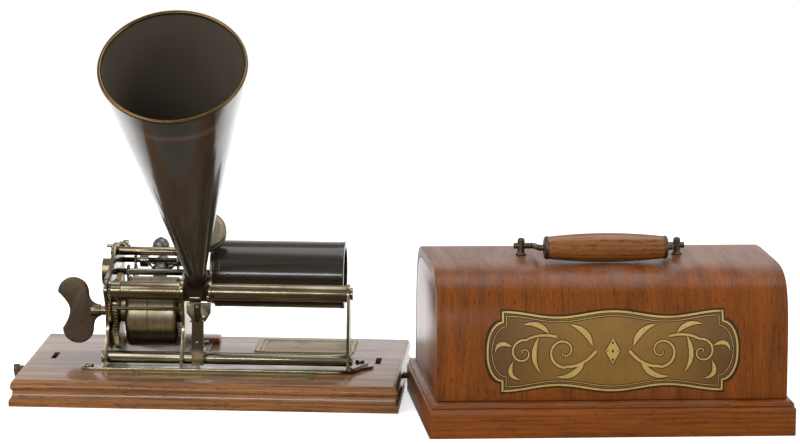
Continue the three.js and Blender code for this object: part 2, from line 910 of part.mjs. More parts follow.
const sharedHoles = [
  windowOutline,
  hole(drum, windingRadius + runGap),
  hole(second, arborRadius + runGap),
  hole(shaft, shaftRadius + runGap, roundSides),
  hole(governor, spindleRadius + runGap),
  hole(feedDrive, feedArborRadius + runGap),
  hole(tie, tieEndRadius + seatGap),
];
const clickPivot = { y: clickY, z: clickZ };
const stopPivot = { y: stopPivotY, z: stopPivotZ };

const leftHoles = [
  ...sharedHoles,
  hole(third, arborRadius + runGap),
  hole(screw, railJournalRadius + runGap),
  hole(rail, railJournalRadius + seatGap),
  hole(speed, speedPinRadius + runGap),
  hole(clickPivot, clickPinRadius + runGap),
];
const bossLeft = leftPlateX - shaftBossLength;
const bossProfile = [
  [bossLeft, 0],
  [bossLeft, shaftBossRadius],
  [leftPlateX + seatGap, shaftBossRadius],
  [leftPlateX + seatGap, shaftRadius + runGap],
  [bossLeft + shaftBossCap, shaftRadius + runGap],
  [bossLeft + shaftBossCap, 0],
];
add('left_frame_plate', join(
  plateX(frameOutline(), leftPlateX, motorLeft, leftHoles),
  turnedX(bossProfile, shaft, roundSides),
), nickel);

const rightHoles = [
  ...sharedHoles,
  hole(screw, tubeRadius + seatGap, roundSides),
  hole(rail, railRadius + seatGap),
  hole(stopPivot, stopPinRadius + runGap),
];
const bearingRight = rightPlateRight + shaftBearingLength;
add('right_frame_plate', join(
  plateX(frameOutline(), rightPlateX, rightPlateRight, rightHoles),
  sleeve(rightPlateRight - seatGap, bearingRight, shaft, shaftRadius + runGap, shaftBearingRadius),
), nickel);

// Rods that tie the plates together
add('upper_tie_rod', steppedRod(leftPlateX - nutThickness, [
  [leftPlateX, tieNutRadius],
  [motorLeft, tieEndRadius],
  [rightPlateX, tieRadius],
  [rightPlateRight, tieEndRadius],
  [rightPlateRight + nutThickness, tieNutRadius],
], tie), nickel);

add('lower_guide_rod', steppedRod(leftPlateX - nutThickness, [
  [leftPlateX, railNutRadius],
  [motorLeft, railJournalRadius],
  [bracketX, railRadius],
  [bracketRight, railJournalRadius],
  [bracketRight + nutThickness, tieNutRadius],
], rail), nickel);

// Spring barrel with its hubs, hollow for the mainspring
const hubLeft = greatWheelX + greatWheelWidth + seatGap;
const hubRight = rightPlateX - wheelGap;
const hubBore = windingRadius + runGap;
const barrelInside = barrelRadius - barrelWall;
const barrelEase = barrelRound * (1 - Math.SQRT1_2);
add('spring_barrel', turnedX([
  [hubLeft, hubBore],
  [hubLeft, barrelHubRadius],
  [barrelLeft, barrelHubRadius],
  [barrelLeft, barrelRadius - barrelRound],
  [barrelLeft + barrelEase, barrelRadius - barrelEase],
  [barrelLeft + barrelRound, barrelRadius],
  [barrelRight - barrelRound, barrelRadius],
  [barrelRight - barrelEase, barrelRadius - barrelEase],
  [barrelRight, barrelRadius - barrelRound],
  [barrelRight, barrelHubRadius],
  [hubRight, barrelHubRadius],
  [hubRight, hubBore],
  [barrelRight - barrelEnd, hubBore],
  [barrelRight - barrelEnd, barrelInside],
  [barrelLeft + barrelEnd, barrelInside],
  [barrelLeft + barrelEnd, hubBore],
], drum, drumSides), nickel);

// Mainspring: a flat spiral strip from the arbor out to the barrel wall
function spiralOutline(inner, outer) {
  const count = springTurns * springStepsPerTurn;
  const side = (shift) => Array.from({ length: count + 1 }, (_, i) => {
    const direction = heading((i / springStepsPerTurn) * fullTurn);
    const place = offset(drum, direction, inner + ((outer - inner) * i) / count + shift);
    return new THREE.Vector2(place.y, place.z);
  });
  return [...side(springThickness / 2), ...side(-springThickness / 2).toReversed()];
}

const springOutline = spiralOutline(windingRadius + springClearance, barrelInside - springClearance);
const springLeft = barrelLeft + barrelEnd + runGap;
add('mainspring', plateX(springOutline, springLeft, barrelRight - barrelEnd - runGap), steel);
add('great_wheel', gear(greatWheel, greatWheelX, greatWheelWidth, windingRadius + runGap), brass);

// Winding arbor, its ratchet wheel, the click and the key
const arborLeft = keyHubLeft + wheelGap + runGap;
add('winding_arbor', rod(arborLeft, rightPlateRight, drum, windingRadius), steel);

function ratchetOutline() {
  const points = [];
  for (let tooth = 0; tooth < ratchetTeeth; tooth += 1) {
    const direction = heading((tooth / ratchetTeeth) * fullTurn);
    for (const radius of [ratchetRadius - ratchetDepth, ratchetRadius]) {
      const place = offset(drum, direction, radius);
      points.push(new THREE.Vector2(place.y, place.z));
    }
  }
  return points;
}

const outerWheelRight = outerWheelX + outerWheelWidth;
const ratchetHole = hole(drum, windingRadius + seatGap);
add('ratchet_wheel', plateX(ratchetOutline(), outerWheelX, outerWheelRight, [ratchetHole]), steel);

const noseReach = ratchetRadius + clickNoseRadius + runGap;
const clickNose = offset(drum, heading(clickNoseAngle * degrees), noseReach);
const clickOutline = belt([
  [clickPivot.y, clickPivot.z, clickEyeRadius],
  [clickNose.y, clickNose.z, clickNoseRadius],
], rodSides);
add('click', join(
  plateX(clickOutline, outerWheelX, outerWheelRight),
  rod(leftPlateX, outerWheelX + wheelGap, clickPivot, clickPinRadius, pinSides),
), steel);

function keyOutline() {
  const upper = drum.z + keyLobeRise;
  const lower = drum.z - keyLobeRise;
  const right = keyHubLeft + keyHubRadius / 2;
  const half = keyHubRadius;
  const shape = new THREE.Shape();
  shape.moveTo(right, drum.z + half);
  shape.quadraticCurveTo(keyUpperX + keyLobeWidth, drum.z + half, keyUpperX + keyLobeWidth, upper);
  shape.absellipse(keyUpperX, upper, keyLobeWidth, keyLobeHeight, 0, Math.PI, false);
  shape.quadraticCurveTo(keyWaistX, drum.z + half, keyWaistX, drum.z);
  shape.quadraticCurveTo(keyWaistX, drum.z - half, keyLowerX - keyLobeWidth, lower);
  shape.absellipse(keyLowerX, lower, keyLobeWidth, keyLobeHeight, Math.PI, fullTurn, false);
  shape.quadraticCurveTo(keyLowerX + keyLobeWidth, drum.z - half, right, drum.z - half);
  return shape.getPoints(curveSteps);
}

const keyHubEnd = keyHubLeft + keyHubLength;
const keyBore = windingRadius + seatGap;
const keyHub = turnedX([
  [keyHubLeft, 0],
  [keyHubLeft, keyHubRadius],
  [keyHubEnd, keyHubRadius],
  [keyHubEnd, keyBore],
  [keyHubLeft + wheelGap, keyBore],
  [keyHubLeft + wheelGap, 0],
], drum, roundSides);
const keyPlate = plateY(keyOutline(), drum.y - keyThickness / 2, drum.y + keyThickness / 2);
const keySocket = rod(keyHubLeft + wheelGap, keyHubEnd + overrun, drum, keyBore, roundSides);
add('winding_key', cut(join(keyHub, keyPlate), keySocket), darkMetal);

// Second, third and feed arbors with their pinions and wheels
add('intermediate_arbor', join(
  rod(leftPlateX, rightPlateRight, second, arborRadius),
  gear(firstPinion, greatWheelX, greatWheelWidth),
), steel);
add('intermediate_wheel', gear(secondWheel, secondWheelX, secondWheelWidth, arborRadius + seatGap), brass);
add('governor_arbor', join(
  rod(leftPlateX, barrelLeft, third, arborRadius),
  gear(thirdPinion, secondWheelX, secondWheelWidth),
), steel);
add('governor_wheel', gear(thirdWheel, thirdWheelX, thirdWheelWidth, arborRadius + seatGap), brass);
add('feed_drive_arbor', join(
  rod(leftPlateX, rightPlateRight, feedDrive, feedArborRadius, pinSides),
  gear(feedPinion, greatWheelX, greatWheelWidth),
), steel);
add('feed_drive_wheel', gear(feedDriveWheel, outerWheelX, outerWheelWidth, feedArborRadius + seatGap), brass);

// Mandrel shaft
add('mandrel_shaft', join(
  rod(bossLeft + shaftBossCap + runGap, shaftRight, shaft, shaftRadius),
  gear(shaftPinion, secondWheelX, secondWheelWidth),
), steel);

// Governor: spindle with its fixed collar, sliding sleeve with its brake disc, and three sprung weights
const collarRight = governorCollarLeft + governorCollarLength;
add('governor_spindle', join(
  rod(leftPlateX, rightPlateRight, governor, spindleRadius),
  rod(governorCollarLeft, collarRight, governor, governorCollarRadius, roundSides),
  gear(governorPinion, thirdWheelX, thirdWheelWidth),
), steel);
const spindleBore = spindleRadius + seatGap;
const sleeveEnd = governorSleeveLeft + governorSleeveLength;
add('governor_disc', turnedX([
  [governorSleeveLeft, spindleBore],
  [governorSleeveLeft, governorFlangeRadius],
  [governorSleeveLeft + governorFlangeWidth, governorFlangeRadius],
  [governorSleeveLeft + governorFlangeWidth, governorSleeveRadius],
  [sleeveEnd - brakeDiscWidth, governorSleeveRadius],
  [sleeveEnd - brakeDiscWidth, brakeDiscRadius],
  [sleeveEnd, brakeDiscRadius],
  [sleeveEnd, spindleBore],
], governor, roundSides), governorMetal);

// A ball on an arched leaf that runs from the collar to the sleeve, turned to its place
function governorWeight(index) {
  const left = collarRight + seatGap;
  const right = governorSleeveLeft - seatGap;
  const foot = governorSleeveRadius - leafThickness;
  const arch = (rise) => {
    const shape = new THREE.Shape();
    shape.moveTo(left, foot + rise);
    shape.lineTo(left + leafFoot, foot + rise);
    shape.quadraticCurveTo((left + weightX) / 2, weightOrbit + rise, weightX, weightOrbit + rise);
    shape.quadraticCurveTo((right + weightX) / 2, weightOrbit + rise, right - leafFoot, foot + rise);
    shape.lineTo(right, foot + rise);
    return shape.getPoints(leafSteps);
  };
  const outline = [...arch(0), ...arch(leafThickness).toReversed()];
  const leaf = plateY(outline, -leafWidth / 2, leafWidth / 2);
  const ball = new THREE.SphereGeometry(weightRadius, rodSides, pinSides).translate(weightX, 0, weightOrbit);
  const turn = weightTurn * degrees + (index / weightCount) * fullTurn;
  return join(leaf, ball).rotateX(turn).translate(0, governor.y, governor.z);
}

for (let index = 0; index < weightCount; index += 1) {
  add(`governor_weight_${index + 1}`, governorWeight(index), governorMetal);
}

// Speed screw through the left plate, and the stop lever beside the brake disc
add('speed_screw', join(
  rod(speedPinLeft, speedPinRight, speed, speedPinRadius, pinSides),
  rod(motorLeft + runGap, motorLeft + runGap + speedKnobWidth, speed, speedKnobRadius, roundSides),
), nickel);

const discMiddle = sleeveEnd - brakeDiscWidth / 2;
const stopLeft = discMiddle - stopWidth / 2;
const padHeading = angleOf(governor, stopPivot);
const padPlace = offset(governor, heading(padHeading), brakeDiscRadius + stopPadGap + stopPadRadius);
const stopArm = belt([
  [stopPivotY, stopPivotZ, stopEyeRadius],
  [padPlace.y, padPlace.z, stopPadRadius],
], rodSides);
const stopHandle = belt([
  [stopPivotY, stopPivotZ, stopEyeRadius],
  [stopHandleY, stopHandleZ, stopPadRadius],
], rodSides);
add('stop_lever', join(
  plateX(stopArm, stopLeft, stopLeft + stopWidth),
  plateX(stopHandle, stopLeft, stopLeft + stopWidth),
  rod(stopLeft + stopWidth / 2, rightPlateRight, stopPivot, stopPinRadius, pinSides),
), steel);

// Feed screw with its wheel and collar, inside the guide tube
const feedCollarRight = greatWheelX + feedCollarLength;
const feedCapLeft = bracketRight + runGap;
add('feed_screw', join(
  steppedRod(leftPlateX, [
    [motorLeft + runGap, railJournalRadius],
    [greatWheelX, feedScrewRadius],
    [feedCollarRight, leftTubeRadius],
    [bracketX - wheelGap, feedScrewRadius],
    [feedCapLeft, railJournalRadius],
    [feedCapLeft + feedCapThickness, feedCapRadius],
  ], screw, roundSides),
  gear(feedWheel, outerWheelX, outerWheelWidth),
), nickel);

const leftTubeLeft = feedCollarRight + runGap;
add('guide_tube_left', sleeve(leftTubeLeft, rightPlateX - seatGap, screw, tubeBore, leftTubeRadius), nickel);

const tubeSlot = box(
  rightPlateRight + tubeSlotWidth,
  bracketX - tubeSlotWidth,
  screw.y,
  screw.y + tubeRadius + overrun,
  screw.z - tubeSlotWidth / 2,
  screw.z + tubeSlotWidth / 2,
);
const guideTube = sleeve(rightPlateX + seatGap, bracketX - seatGap, screw, tubeBore, tubeRadius);
add('guide_tube', cut(guideTube, tubeSlot), nickel);

// Bracket at the right end, with its foot on the bedplate
const bracketFront = screw.y - bracketTopRadius - bracketCorner;
const bracketFace = belt([
  [screw.y, screw.z, bracketTopRadius],
  [bracketFront + bracketCorner, bedTop + bracketCorner, bracketCorner],
  [bracketFootBack - bracketCorner, bedTop + bracketCorner, bracketCorner],
]);
const bracketFoot = belt([
  [bedRightScrewX, bedRightScrewY, bracketFootRadius],
  [bracketX + bracketCorner, bracketFront + bracketCorner, bracketCorner],
  [bracketX + bracketCorner, bracketFootBack - bracketCorner, bracketCorner],
]);
add('right_bracket', cut(
  join(
    plateX(bracketFace, bracketX, bracketRight, [
      hole(screw, railJournalRadius + runGap, roundSides),
      hole(rail, railJournalRadius + seatGap),
    ]),
    plateZ(bracketFoot, bedTop, bedTop + bracketThickness),
  ),
  ...screwHoles,
), nickel);

// Carriage: a sleeve on the guide tube with its half nut, pin lug, shield, arm and shoe
const armBack = armFront + armThickness;
const nutReach = tubeSlotWidth / 2 - runGap;
const sleeveBore = tubeRadius + runGap;
const lugCircles = [[pinY, pinZ, lugRadius], [screw.y - sleeveBore, screw.z - lugRadius, lugRadius]];
const shieldOutline = [
  [shieldLeft, shieldTop],
  [shieldLeft, shieldShoulder],
  [shieldWaistLeft, shieldWaist],
  [shieldWaistRight, shieldWaist],
  [shieldRight, shieldShoulder],
  [shieldRight, shieldTop],
].map(([x, z]) => new THREE.Vector2(x, z));
const knobCentre = circle(armKnobX, armKnobZ, armKnobRadius, pinSides);
const shoeGap = railRadius + runGap;
const armCut = [armLeft - overrun, armRight + overrun];
const carriageBody = cut(
  join(
    sleeve(sleeveLeft, sleeveRight, screw, sleeveBore, sleeveRadius),
    sleeve(sleeveRight - sleeveFlangeWidth, sleeveRight, screw, sleeveBore, sleeveFlangeRadius),
    plateX(belt(lugCircles, rodSides), lugLeft, lugRight),
    plateY(shieldOutline, armFront, armBack),
    plateY(knobCentre, armFront - armKnobLength, armBack),
    box(lugLeft, lugRight, armFront, armBack, shieldShoulder, pinZ),
    box(armLeft, armRight, armFront, armBack, shoeBottom, shieldShoulder),
    box(armLeft, armRight, armFront, shoeBack, shoeBottom, shoeTop),
  ),
  rod(sleeveLeft - overrun, sleeveRight + overrun, screw, sleeveBore, roundSides),
  rod(lugLeft - overrun, lugRight + overrun, lift, pinRadius + seatGap),
  rod(...armCut, rail, shoeGap),
  box(...armCut, rail.y - shoeGap, rail.y + shoeGap, shoeBottom - overrun, rail.z),
);
const halfNut = box(
  nutLeft,
  nutRight,
  screw.y + feedScrewRadius + runGap,
  screw.y + sleeveRadius - runGap,
  screw.z - nutReach,
  screw.z + nutReach,
);
add('carriage', join(carriageBody, halfNut), nickel);
const strapBack = armFront - seatGap;
const strap = box(strapLeft, strapRight, strapBack - strapThickness, strapBack, strapBottom, strapTop);
add('carriage_strap', strap, copperBrown);
add('carriage_pin', rod(pinLeft, pinRight, lift, pinRadius), steel);

// Block that rocks on the pin and carries the neck and the horn
const hornAngle = Math.PI - hornRise * degrees;
const hornFoot = { y: hornFootY, z: hornFootZ };
const neckAngle = angleOf(neckBends.at(-1), neckEnd);
const neckSocketDepth = neckRadius / 2;
const passageStart = offset(neckEnd, heading(neckAngle), neckRadius);
const passageEnd = offset(hornFoot, heading(hornAngle), hornFerruleStart - runGap);
const blockClearance = sleeveFlangeRadius + wheelGap;
const blockFlangeLeft = sleeveRight - sleeveFlangeWidth - runGap;

// Room for the carriage's sleeve, as the block meets it at each step of its lift
const liftRoom = Array.from({ length: liftSteps }, (_, i) => {
  const turn = (liftRange * degrees * (i + 1)) / liftSteps;
  const place = offset(lift, heading(angleOf(lift, screw) - turn), distanceOf(lift, screw));
  return [
    rod(blockLeft - overrun, blockRight + overrun, place, sleeveRadius + runGap, roundSides),
    rod(blockFlangeLeft, blockRight + overrun, place, sleeveFlangeRadius + runGap, roundSides),
  ];
}).flat();

const blockFace = [
  [blockFrontY, blockFrontSkirt],
  [blockFrontY, blockTop - blockChamfer],
  [blockFrontY + blockChamfer, blockTop],
  [blockBackY - blockChamfer, blockTop],
  [blockBackY, blockTop - blockChamfer],
  [blockBackY, blockBackSkirt],
  [screw.y, blockFrontSkirt],
].map(([y, z]) => new THREE.Vector2(y, z));

function slantRod(x, foot, angle, start, end, radius, sides = rodSides) {
  return turnedSlant([[start, 0], [start, radius], [end, radius], [end, 0]], x, foot, angle, sides);
}

const collarFloor = collarStart + lugClearance / 2;
const ferruleSeat = hornFerruleStart - runGap;
const ferruleBore = hornFerruleRadius + runGap;
const passageLength = distanceOf(passageStart, passageEnd);
add('reproducer_socket', cut(
  join(
    plateX(blockFace, blockLeft, blockRight),
    slantRod(hornX, hornFoot, hornAngle, collarStart, collarEnd, collarRadius, roundSides),
    slantRod(neckX, neckEnd, neckAngle, -neckSocketDepth, 2 * neckRadius, neckBossRadius, roundSides),
  ),
  rod(blockLeft - overrun, blockRight + overrun, screw, blockClearance, roundSides),
  ...liftRoom,
  rod(blockLeft - overrun, blockRight + overrun, lift, pinRadius + runGap),
  rod(lugLeft - runGap, lugRight + runGap, lift, lugRadius + lugClearance, roundSides),
  slantRod(hornX, hornFoot, hornAngle, ferruleSeat, collarEnd + overrun, ferruleBore, roundSides),
  slantRod(hornX, hornFoot, hornAngle, collarFloor, hornFerruleStart, collarBore, roundSides),
  slantRod(neckX, neckEnd, neckAngle, -neckSocketDepth - overrun, seatGap, neckRadius + seatGap),
  slantRod(neckX, neckEnd, neckAngle, 0, neckRadius + neckBore / 2, neckBore),
  slantRod(neckX, passageStart, angleOf(passageStart, passageEnd), 0, passageLength, passageRadius, pinSides),
), copperBrown);

// Horn: one turned shell from its ferrule to the wired mouth
function hornRadius(station) {
  return hornRootRadius + (hornMouthRadius - hornRootRadius) * (station / hornLength) ** hornFlareShare;
}

const hornOuter = [[hornFerruleStart, hornFerruleRadius], [hornFerruleEnd, hornFerruleRadius]];
for (let ring = 1; ring <= hornRings; ring += 1) {
  const station = hornFerruleEnd + ((hornLength - hornFerruleEnd) * ring) / hornRings;
  hornOuter.push([station, hornRadius(station)]);
}
const hornInner = hornOuter.map(([station, radius]) => [station, radius - hornWall]);
const hornProfile = [...hornOuter, ...hornInner.toReversed()];
add('horn', turnedSlant(hornProfile, hornX, hornFoot, hornAngle, fineSides), blackPaint);

const rimMiddle = hornLength + seatGap + rimRadius;
const rimSection = circle(rimMiddle, hornMouthRadius - hornWall / 2, rimRadius, beadSides);
const rimProfile = rimSection.map((point) => [point.x, point.y]);
add('horn_rim', turnedSlant(rimProfile, hornX, hornFoot, hornAngle, fineSides), brass);

// Reproducer: a tilted housing with a diaphragm at its back and a socket for the neck at its front
const discAngle = Math.PI - discTilt * degrees;
const discHeading = heading(discAngle);
const discAcross = heading(discAngle - Math.PI / 2);

function discPlace(forward, across) {
  return offset(offset(discFront, discHeading, forward), discAcross, across);
}

const neckBoreFit = neckRadius + seatGap;
const socketFloor = discBossLength - discSocketDepth;
const recessRadius = diaphragmRadius + seatGap;
const seatStation = -discThickness + discRecessDepth + diaphragmThickness + seatGap;
const chamberTop = seatStation + chamberDepth;
const discShell = turnedSlant([
  [discBossLength, neckBoreFit],
  [discBossLength, discBossRadius],
  [0, discBossRadius],
  [0, discRadius - discRound],
  [-discRound, discRadius],
  [discRound - discThickness, discRadius],
  [-discThickness, discRadius - discRound / 2],
  [-discThickness, recessRadius],
  [seatStation, recessRadius],
  [seatStation, chamberRadius],
  [chamberTop, chamberRadius],
  [chamberTop, neckBore],
  [socketFloor, neckBore],
  [socketFloor, neckBoreFit],
], neckX, discFront, discAngle, discSides);

const pivotAcross = -stylusPivotShare * discRadius;
const pivotBack = -discThickness - stylusBarStandoff;
const stylusPivot = discPlace(pivotBack, pivotAcross);
const earRoot = discPlace(stylusEarRoot - discThickness, pivotAcross);
const earOutline = belt([
  [stylusPivot.y, stylusPivot.z, stylusEarRadius],
  [earRoot.y, earRoot.z, stylusEarRadius / 2],
], rodSides);
const stylusPinHole = hole(stylusPivot, stylusRadius + runGap, pinSides);

function stylusEar(side) {
  const near = neckX + side * (stylusBarWidth / 2 + runGap);
  const far = near + side * stylusEarWidth;
  return plateX(earOutline, Math.min(near, far), Math.max(near, far), [stylusPinHole]);
}

add('reproducer', join(discShell, stylusEar(-1), stylusEar(1)), nickel);
const diaphragmBack = discRecessDepth - discThickness;
add('diaphragm', slantRod(
  neckX,
  discFront,
  discAngle,
  diaphragmBack,
  diaphragmBack + diaphragmThickness,
  diaphragmRadius,
  roundSides,
), mica);

// Stylus lever: a bar on its pin across the back, with the stylus that stops just off the record
const stylusRoot = discPlace(pivotBack, stylusOffset);
const fromRoot = { y: shaft.y - stylusRoot.y, z: shaft.z - stylusRoot.z };
const stylusAlong = -(fromRoot.y * discHeading.y + fromRoot.z * discHeading.z);
const stylusAside = fromRoot.y * discAcross.y + fromRoot.z * discAcross.z;
const stylusReach = recordRadius + stylusGap;
const stylusLength = stylusAlong - Math.sqrt(stylusReach ** 2 - stylusAside ** 2);
const barEnd = discPlace(pivotBack, stylusBarTail);
const barOutline = belt([
  [stylusPivot.y, stylusPivot.z, stylusEarRadius - runGap],
  [barEnd.y, barEnd.z, stylusBarThickness / 2],
], rodSides);
const leverPinReach = stylusBarWidth / 2 + runGap + stylusEarWidth;
const barPlate = plateX(barOutline, neckX - stylusBarWidth / 2, neckX + stylusBarWidth / 2);
add('stylus_lever', join(
  barPlate,
  rod(neckX - leverPinReach, neckX + leverPinReach, stylusPivot, stylusRadius, pinSides),
  slantRod(neckX, stylusRoot, discAngle + Math.PI, 0, stylusLength, stylusRadius, pinSides),
), steel);

// Neck: a bent sound tube from the reproducer to the block
const neckStart = discPlace(socketFloor + seatGap, 0);
const neckStraight = offset(neckEnd, heading(neckAngle), -neckRadius);
const neckPlaces = [neckStart, discPlace(discBossLength + discRound, 0), ...neckBends, neckStraight, neckEnd];
const neckPoints = neckPlaces.map(({ y, z }) => new THREE.Vector3(neckX, y, z));

function lengthened(points, reach) {
  const [first, next] = points;
  const [beforeLast, last] = points.slice(-2);
  const head = first.clone().add(first.clone().sub(next).setLength(reach));
  const tail = last.clone().add(last.clone().sub(beforeLast).setLength(reach));
  return [head, ...points, tail];
}

add('reproducer_neck', cut(
  tube(neckPoints, neckRadius, neckSteps, pinSides),
  tube(lengthened(neckPoints, overrun), neckBore, neckSteps + 2, pinSides),
), nickel);

// Mandrel: a flanged, slightly tapered shell on a hub, open at its right end
const mandrelTipRadius = mandrelRadius - mandrelTaper;
const mandrelBore = shaftRadius + seatGap;
add('mandrel', turnedX([
  [mandrelLeft, mandrelBore],
  [mandrelLeft, mandrelFlangeRadius],
  [mandrelLeft + mandrelFlangeWidth, mandrelFlangeRadius],
  [mandrelLeft + mandrelFlangeWidth, mandrelRadius],
  [mandrelRight, mandrelTipRadius],
  [mandrelRight, mandrelTipRadius - mandrelWall],
  [mandrelLeft + mandrelWebWidth, mandrelRadius - mandrelWall],
  [mandrelLeft + mandrelWebWidth, mandrelHubRadius],
  [mandrelHubRight, mandrelHubRadius],
  [mandrelHubRight, mandrelBore],
], shaft, fineSides), nickel);

const recordRight = recordLeft + recordLength;
add('record_cylinder', turnedX([
  [recordLeft, mandrelRadius + runGap],
  [recordLeft, recordRadius - recordRound],
  [recordLeft + recordRound, recordRadius],
  [recordRight - recordRound, recordRadius],
  [recordRight, recordRadius - recordRound],
  [recordRight, mandrelTipRadius + runGap],
], shaft, fineSides), wax);

// Lid: a bent cover between two end boards on a moulded plinth, all open below
function archHalf(half, height, base) {
  const points = [];
  for (let i = 0; i <= lidArchSteps; i += 1) {
    const angle = (i / lidArchSteps) * Math.PI;
    const across = Math.sign(Math.cos(angle)) * Math.abs(Math.cos(angle)) ** (2 / lidArchPower);
    const up = Math.sin(angle) ** (2 / lidArchPower);
    points.push(new THREE.Vector2(lidDepth / 2 + half * across, base + height * up));
  }
  return points;
}

const coverBottom = lidPlinthHeight + runGap;
const coverHalf = lidDepth / 2 - lidInsetY;
const coverRise = lidHeight - coverBottom;
const coverOuter = archHalf(coverHalf, coverRise, coverBottom);
const coverInner = archHalf(coverHalf - lidWall, coverRise - lidWall, coverBottom);
const coverRight = lidLength - lidInsetX;
add('lid_cover', plateX([...coverOuter, ...coverInner.toReversed()], lidInsetX, coverRight), lidOak, lid);

const endHalf = coverHalf - lidWall - runGap;
const endOutline = archHalf(endHalf, coverRise - lidWall - runGap, coverBottom);
add('lid_end_left', plateX(endOutline, lidInsetX, lidInsetX + lidEndThickness), lidOak, lid);
add('lid_end_right', plateX(endOutline, coverRight - lidEndThickness, coverRight), lidOak, lid);

const plinthLevels = lidEdgeShares.map(([inset, height]) => {
  return [inset * lidInsetX, inset * lidInsetY, height * lidPlinthHeight];
});
const plinthInsetX = lidInsetX + lidEndThickness;
const plinthInsetY = lidInsetY + lidWall;
const plinthHollow = box(
  plinthInsetX,
  lidLength - plinthInsetX,
  plinthInsetY,
  lidDepth - plinthInsetY,
  -overrun,
  lidPlinthHeight + overrun,
);
add('lid_plinth', cut(rectangleStack(lidLength, lidDepth, plinthLevels), plinthHollow), lidOak, lid);

// Carrying handle: two eyes on the crown, a bent bail and a turned wooden grip
const lidMiddle = lidLength / 2;
const pivot = { y: eyeY, z: eyeZ };
const crown = lidHeight + seatGap;

function handleEye(side) {
  const profile = [
    [crown, 0],
    [crown, eyeFlangeRadius],
    [crown + eyeFlangeThickness, eyeFlangeRadius],
    [crown + eyeFlangeThickness, eyeRadius],
    [eyeTop - eyeRadius / 2, eyeRadius],
    [eyeTop, eyeRadius / 2],
    [eyeTop, 0],
  ];
  const x = lidMiddle + side * eyeSpan;
  const post = turnedSlant(profile, x, { y: eyeY, z: 0 }, Math.PI / 2, rodSides);
  const reach = eyeRadius + overrun;
  return cut(post, rod(x - reach, x + reach, pivot, bailRadius + runGap));
}

add('handle_eye_left', handleEye(-1), darkMetal, lid);
add('handle_eye_right', handleEye(1), darkMetal, lid);

const grip = { y: eyeY - bailReach, z: lidHeight + runGap + gripRadius };
const bailHalf = [[bailArmX, grip], [bailArmX, pivot], [bailHalfLength, pivot]];
const bailCorners = [...bailHalf.toReversed().map(([x, place]) => [-x, place]), ...bailHalf];
const bailPoints = bailCorners.map(([x, { y, z }]) => new THREE.Vector3(lidMiddle + x, y, z));
add('handle_bail', bentRod(bailPoints, bailBend, bailRadius, bailBendSteps, pinSides), darkMetal, lid);

const gripBore = bailRadius + runGap;
const gripOuter = [];
for (let i = 0; i <= gripStations; i += 1) {
  const share = (2 * i) / gripStations - 1;
  const radius = gripEndRadius + (gripRadius - gripEndRadius) * (1 - share ** 2);
  gripOuter.push([lidMiddle + share * gripHalfLength, radius]);
}
const gripProfile = [
  [lidMiddle - gripHalfLength, gripBore],
  ...gripOuter,
  [lidMiddle + gripHalfLength, gripBore],
];
add('handle_grip', turnedX(gripProfile, grip, roundSides), gripOak, lid);

export default phonograph;
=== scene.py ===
"""Dresses a spring-driven cylinder phonograph and the oak lid that stands beside it."""

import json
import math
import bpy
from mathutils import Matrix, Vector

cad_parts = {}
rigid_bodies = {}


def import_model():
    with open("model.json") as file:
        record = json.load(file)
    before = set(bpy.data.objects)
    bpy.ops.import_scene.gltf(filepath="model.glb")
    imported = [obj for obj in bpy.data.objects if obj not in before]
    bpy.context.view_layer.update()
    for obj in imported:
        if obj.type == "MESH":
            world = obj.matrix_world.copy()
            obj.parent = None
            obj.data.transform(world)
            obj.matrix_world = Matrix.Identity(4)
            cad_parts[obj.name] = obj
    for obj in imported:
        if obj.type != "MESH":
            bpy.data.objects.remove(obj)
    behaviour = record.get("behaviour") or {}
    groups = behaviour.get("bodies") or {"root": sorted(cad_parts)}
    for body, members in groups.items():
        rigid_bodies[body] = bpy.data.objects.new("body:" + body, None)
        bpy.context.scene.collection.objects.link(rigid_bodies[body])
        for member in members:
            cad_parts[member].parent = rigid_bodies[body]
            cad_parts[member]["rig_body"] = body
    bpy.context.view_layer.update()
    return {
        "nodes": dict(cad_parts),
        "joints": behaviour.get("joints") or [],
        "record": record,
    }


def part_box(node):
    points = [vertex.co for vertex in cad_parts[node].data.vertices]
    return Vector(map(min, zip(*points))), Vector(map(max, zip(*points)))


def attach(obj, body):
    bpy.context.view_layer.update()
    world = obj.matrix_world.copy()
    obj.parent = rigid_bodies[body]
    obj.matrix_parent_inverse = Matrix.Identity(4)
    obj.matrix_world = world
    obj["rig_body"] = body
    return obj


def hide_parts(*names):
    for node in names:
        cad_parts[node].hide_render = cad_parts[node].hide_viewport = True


bl_info = {
    "name": "Cylinder phonograph",
    "version": (1, 0, 0),
    "blender": (4, 5, 0),
    "location": "View3D > Sidebar > Phonograph",
    "description": "Builds the finished surfaces of a cylinder phonograph, its horn and its oak lid",
    "category": "Add Mesh",
}

from functools import cache

import bmesh
import bpy
from mathutils import Matrix, Vector

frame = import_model()

# Pieces are drawn in millimetres and scaled to metres as their meshes are made
MM = 0.001
FULL_TURN = 2 * math.pi
X_AXIS = Vector((1, 0, 0))
Z_AXIS = Vector((0, 0, 1))
SIDES = ("left", "right")

# Facets of the turned pieces
FINE_SIDES = 128
ROUND_SIDES = 72
SMALL_SIDES = 36

# Places of the shafts, read from the joints of the frame
JOINTS = {joint["name"]: joint for joint in frame["joints"]}
DRUM, SHAFT, GOVERNOR, SCREW, HORN_FOOT = (
    Vector(JOINTS[name]["pos_m"]) / MM
    for name in ("drum_spin", "mandrel_spin", "governor_spin", "feed_spin", "horn_turn")
)
HORN_AXIS = Vector(JOINTS["horn_turn"]["axis"])
OPENINGS = {opening["name"]: opening for opening in frame["record"]["physics"]["openings"]}


def corners(node):
    """The lowest and highest corners of a node, in millimetres."""
    low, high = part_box(node)
    return low / MM, high / MM


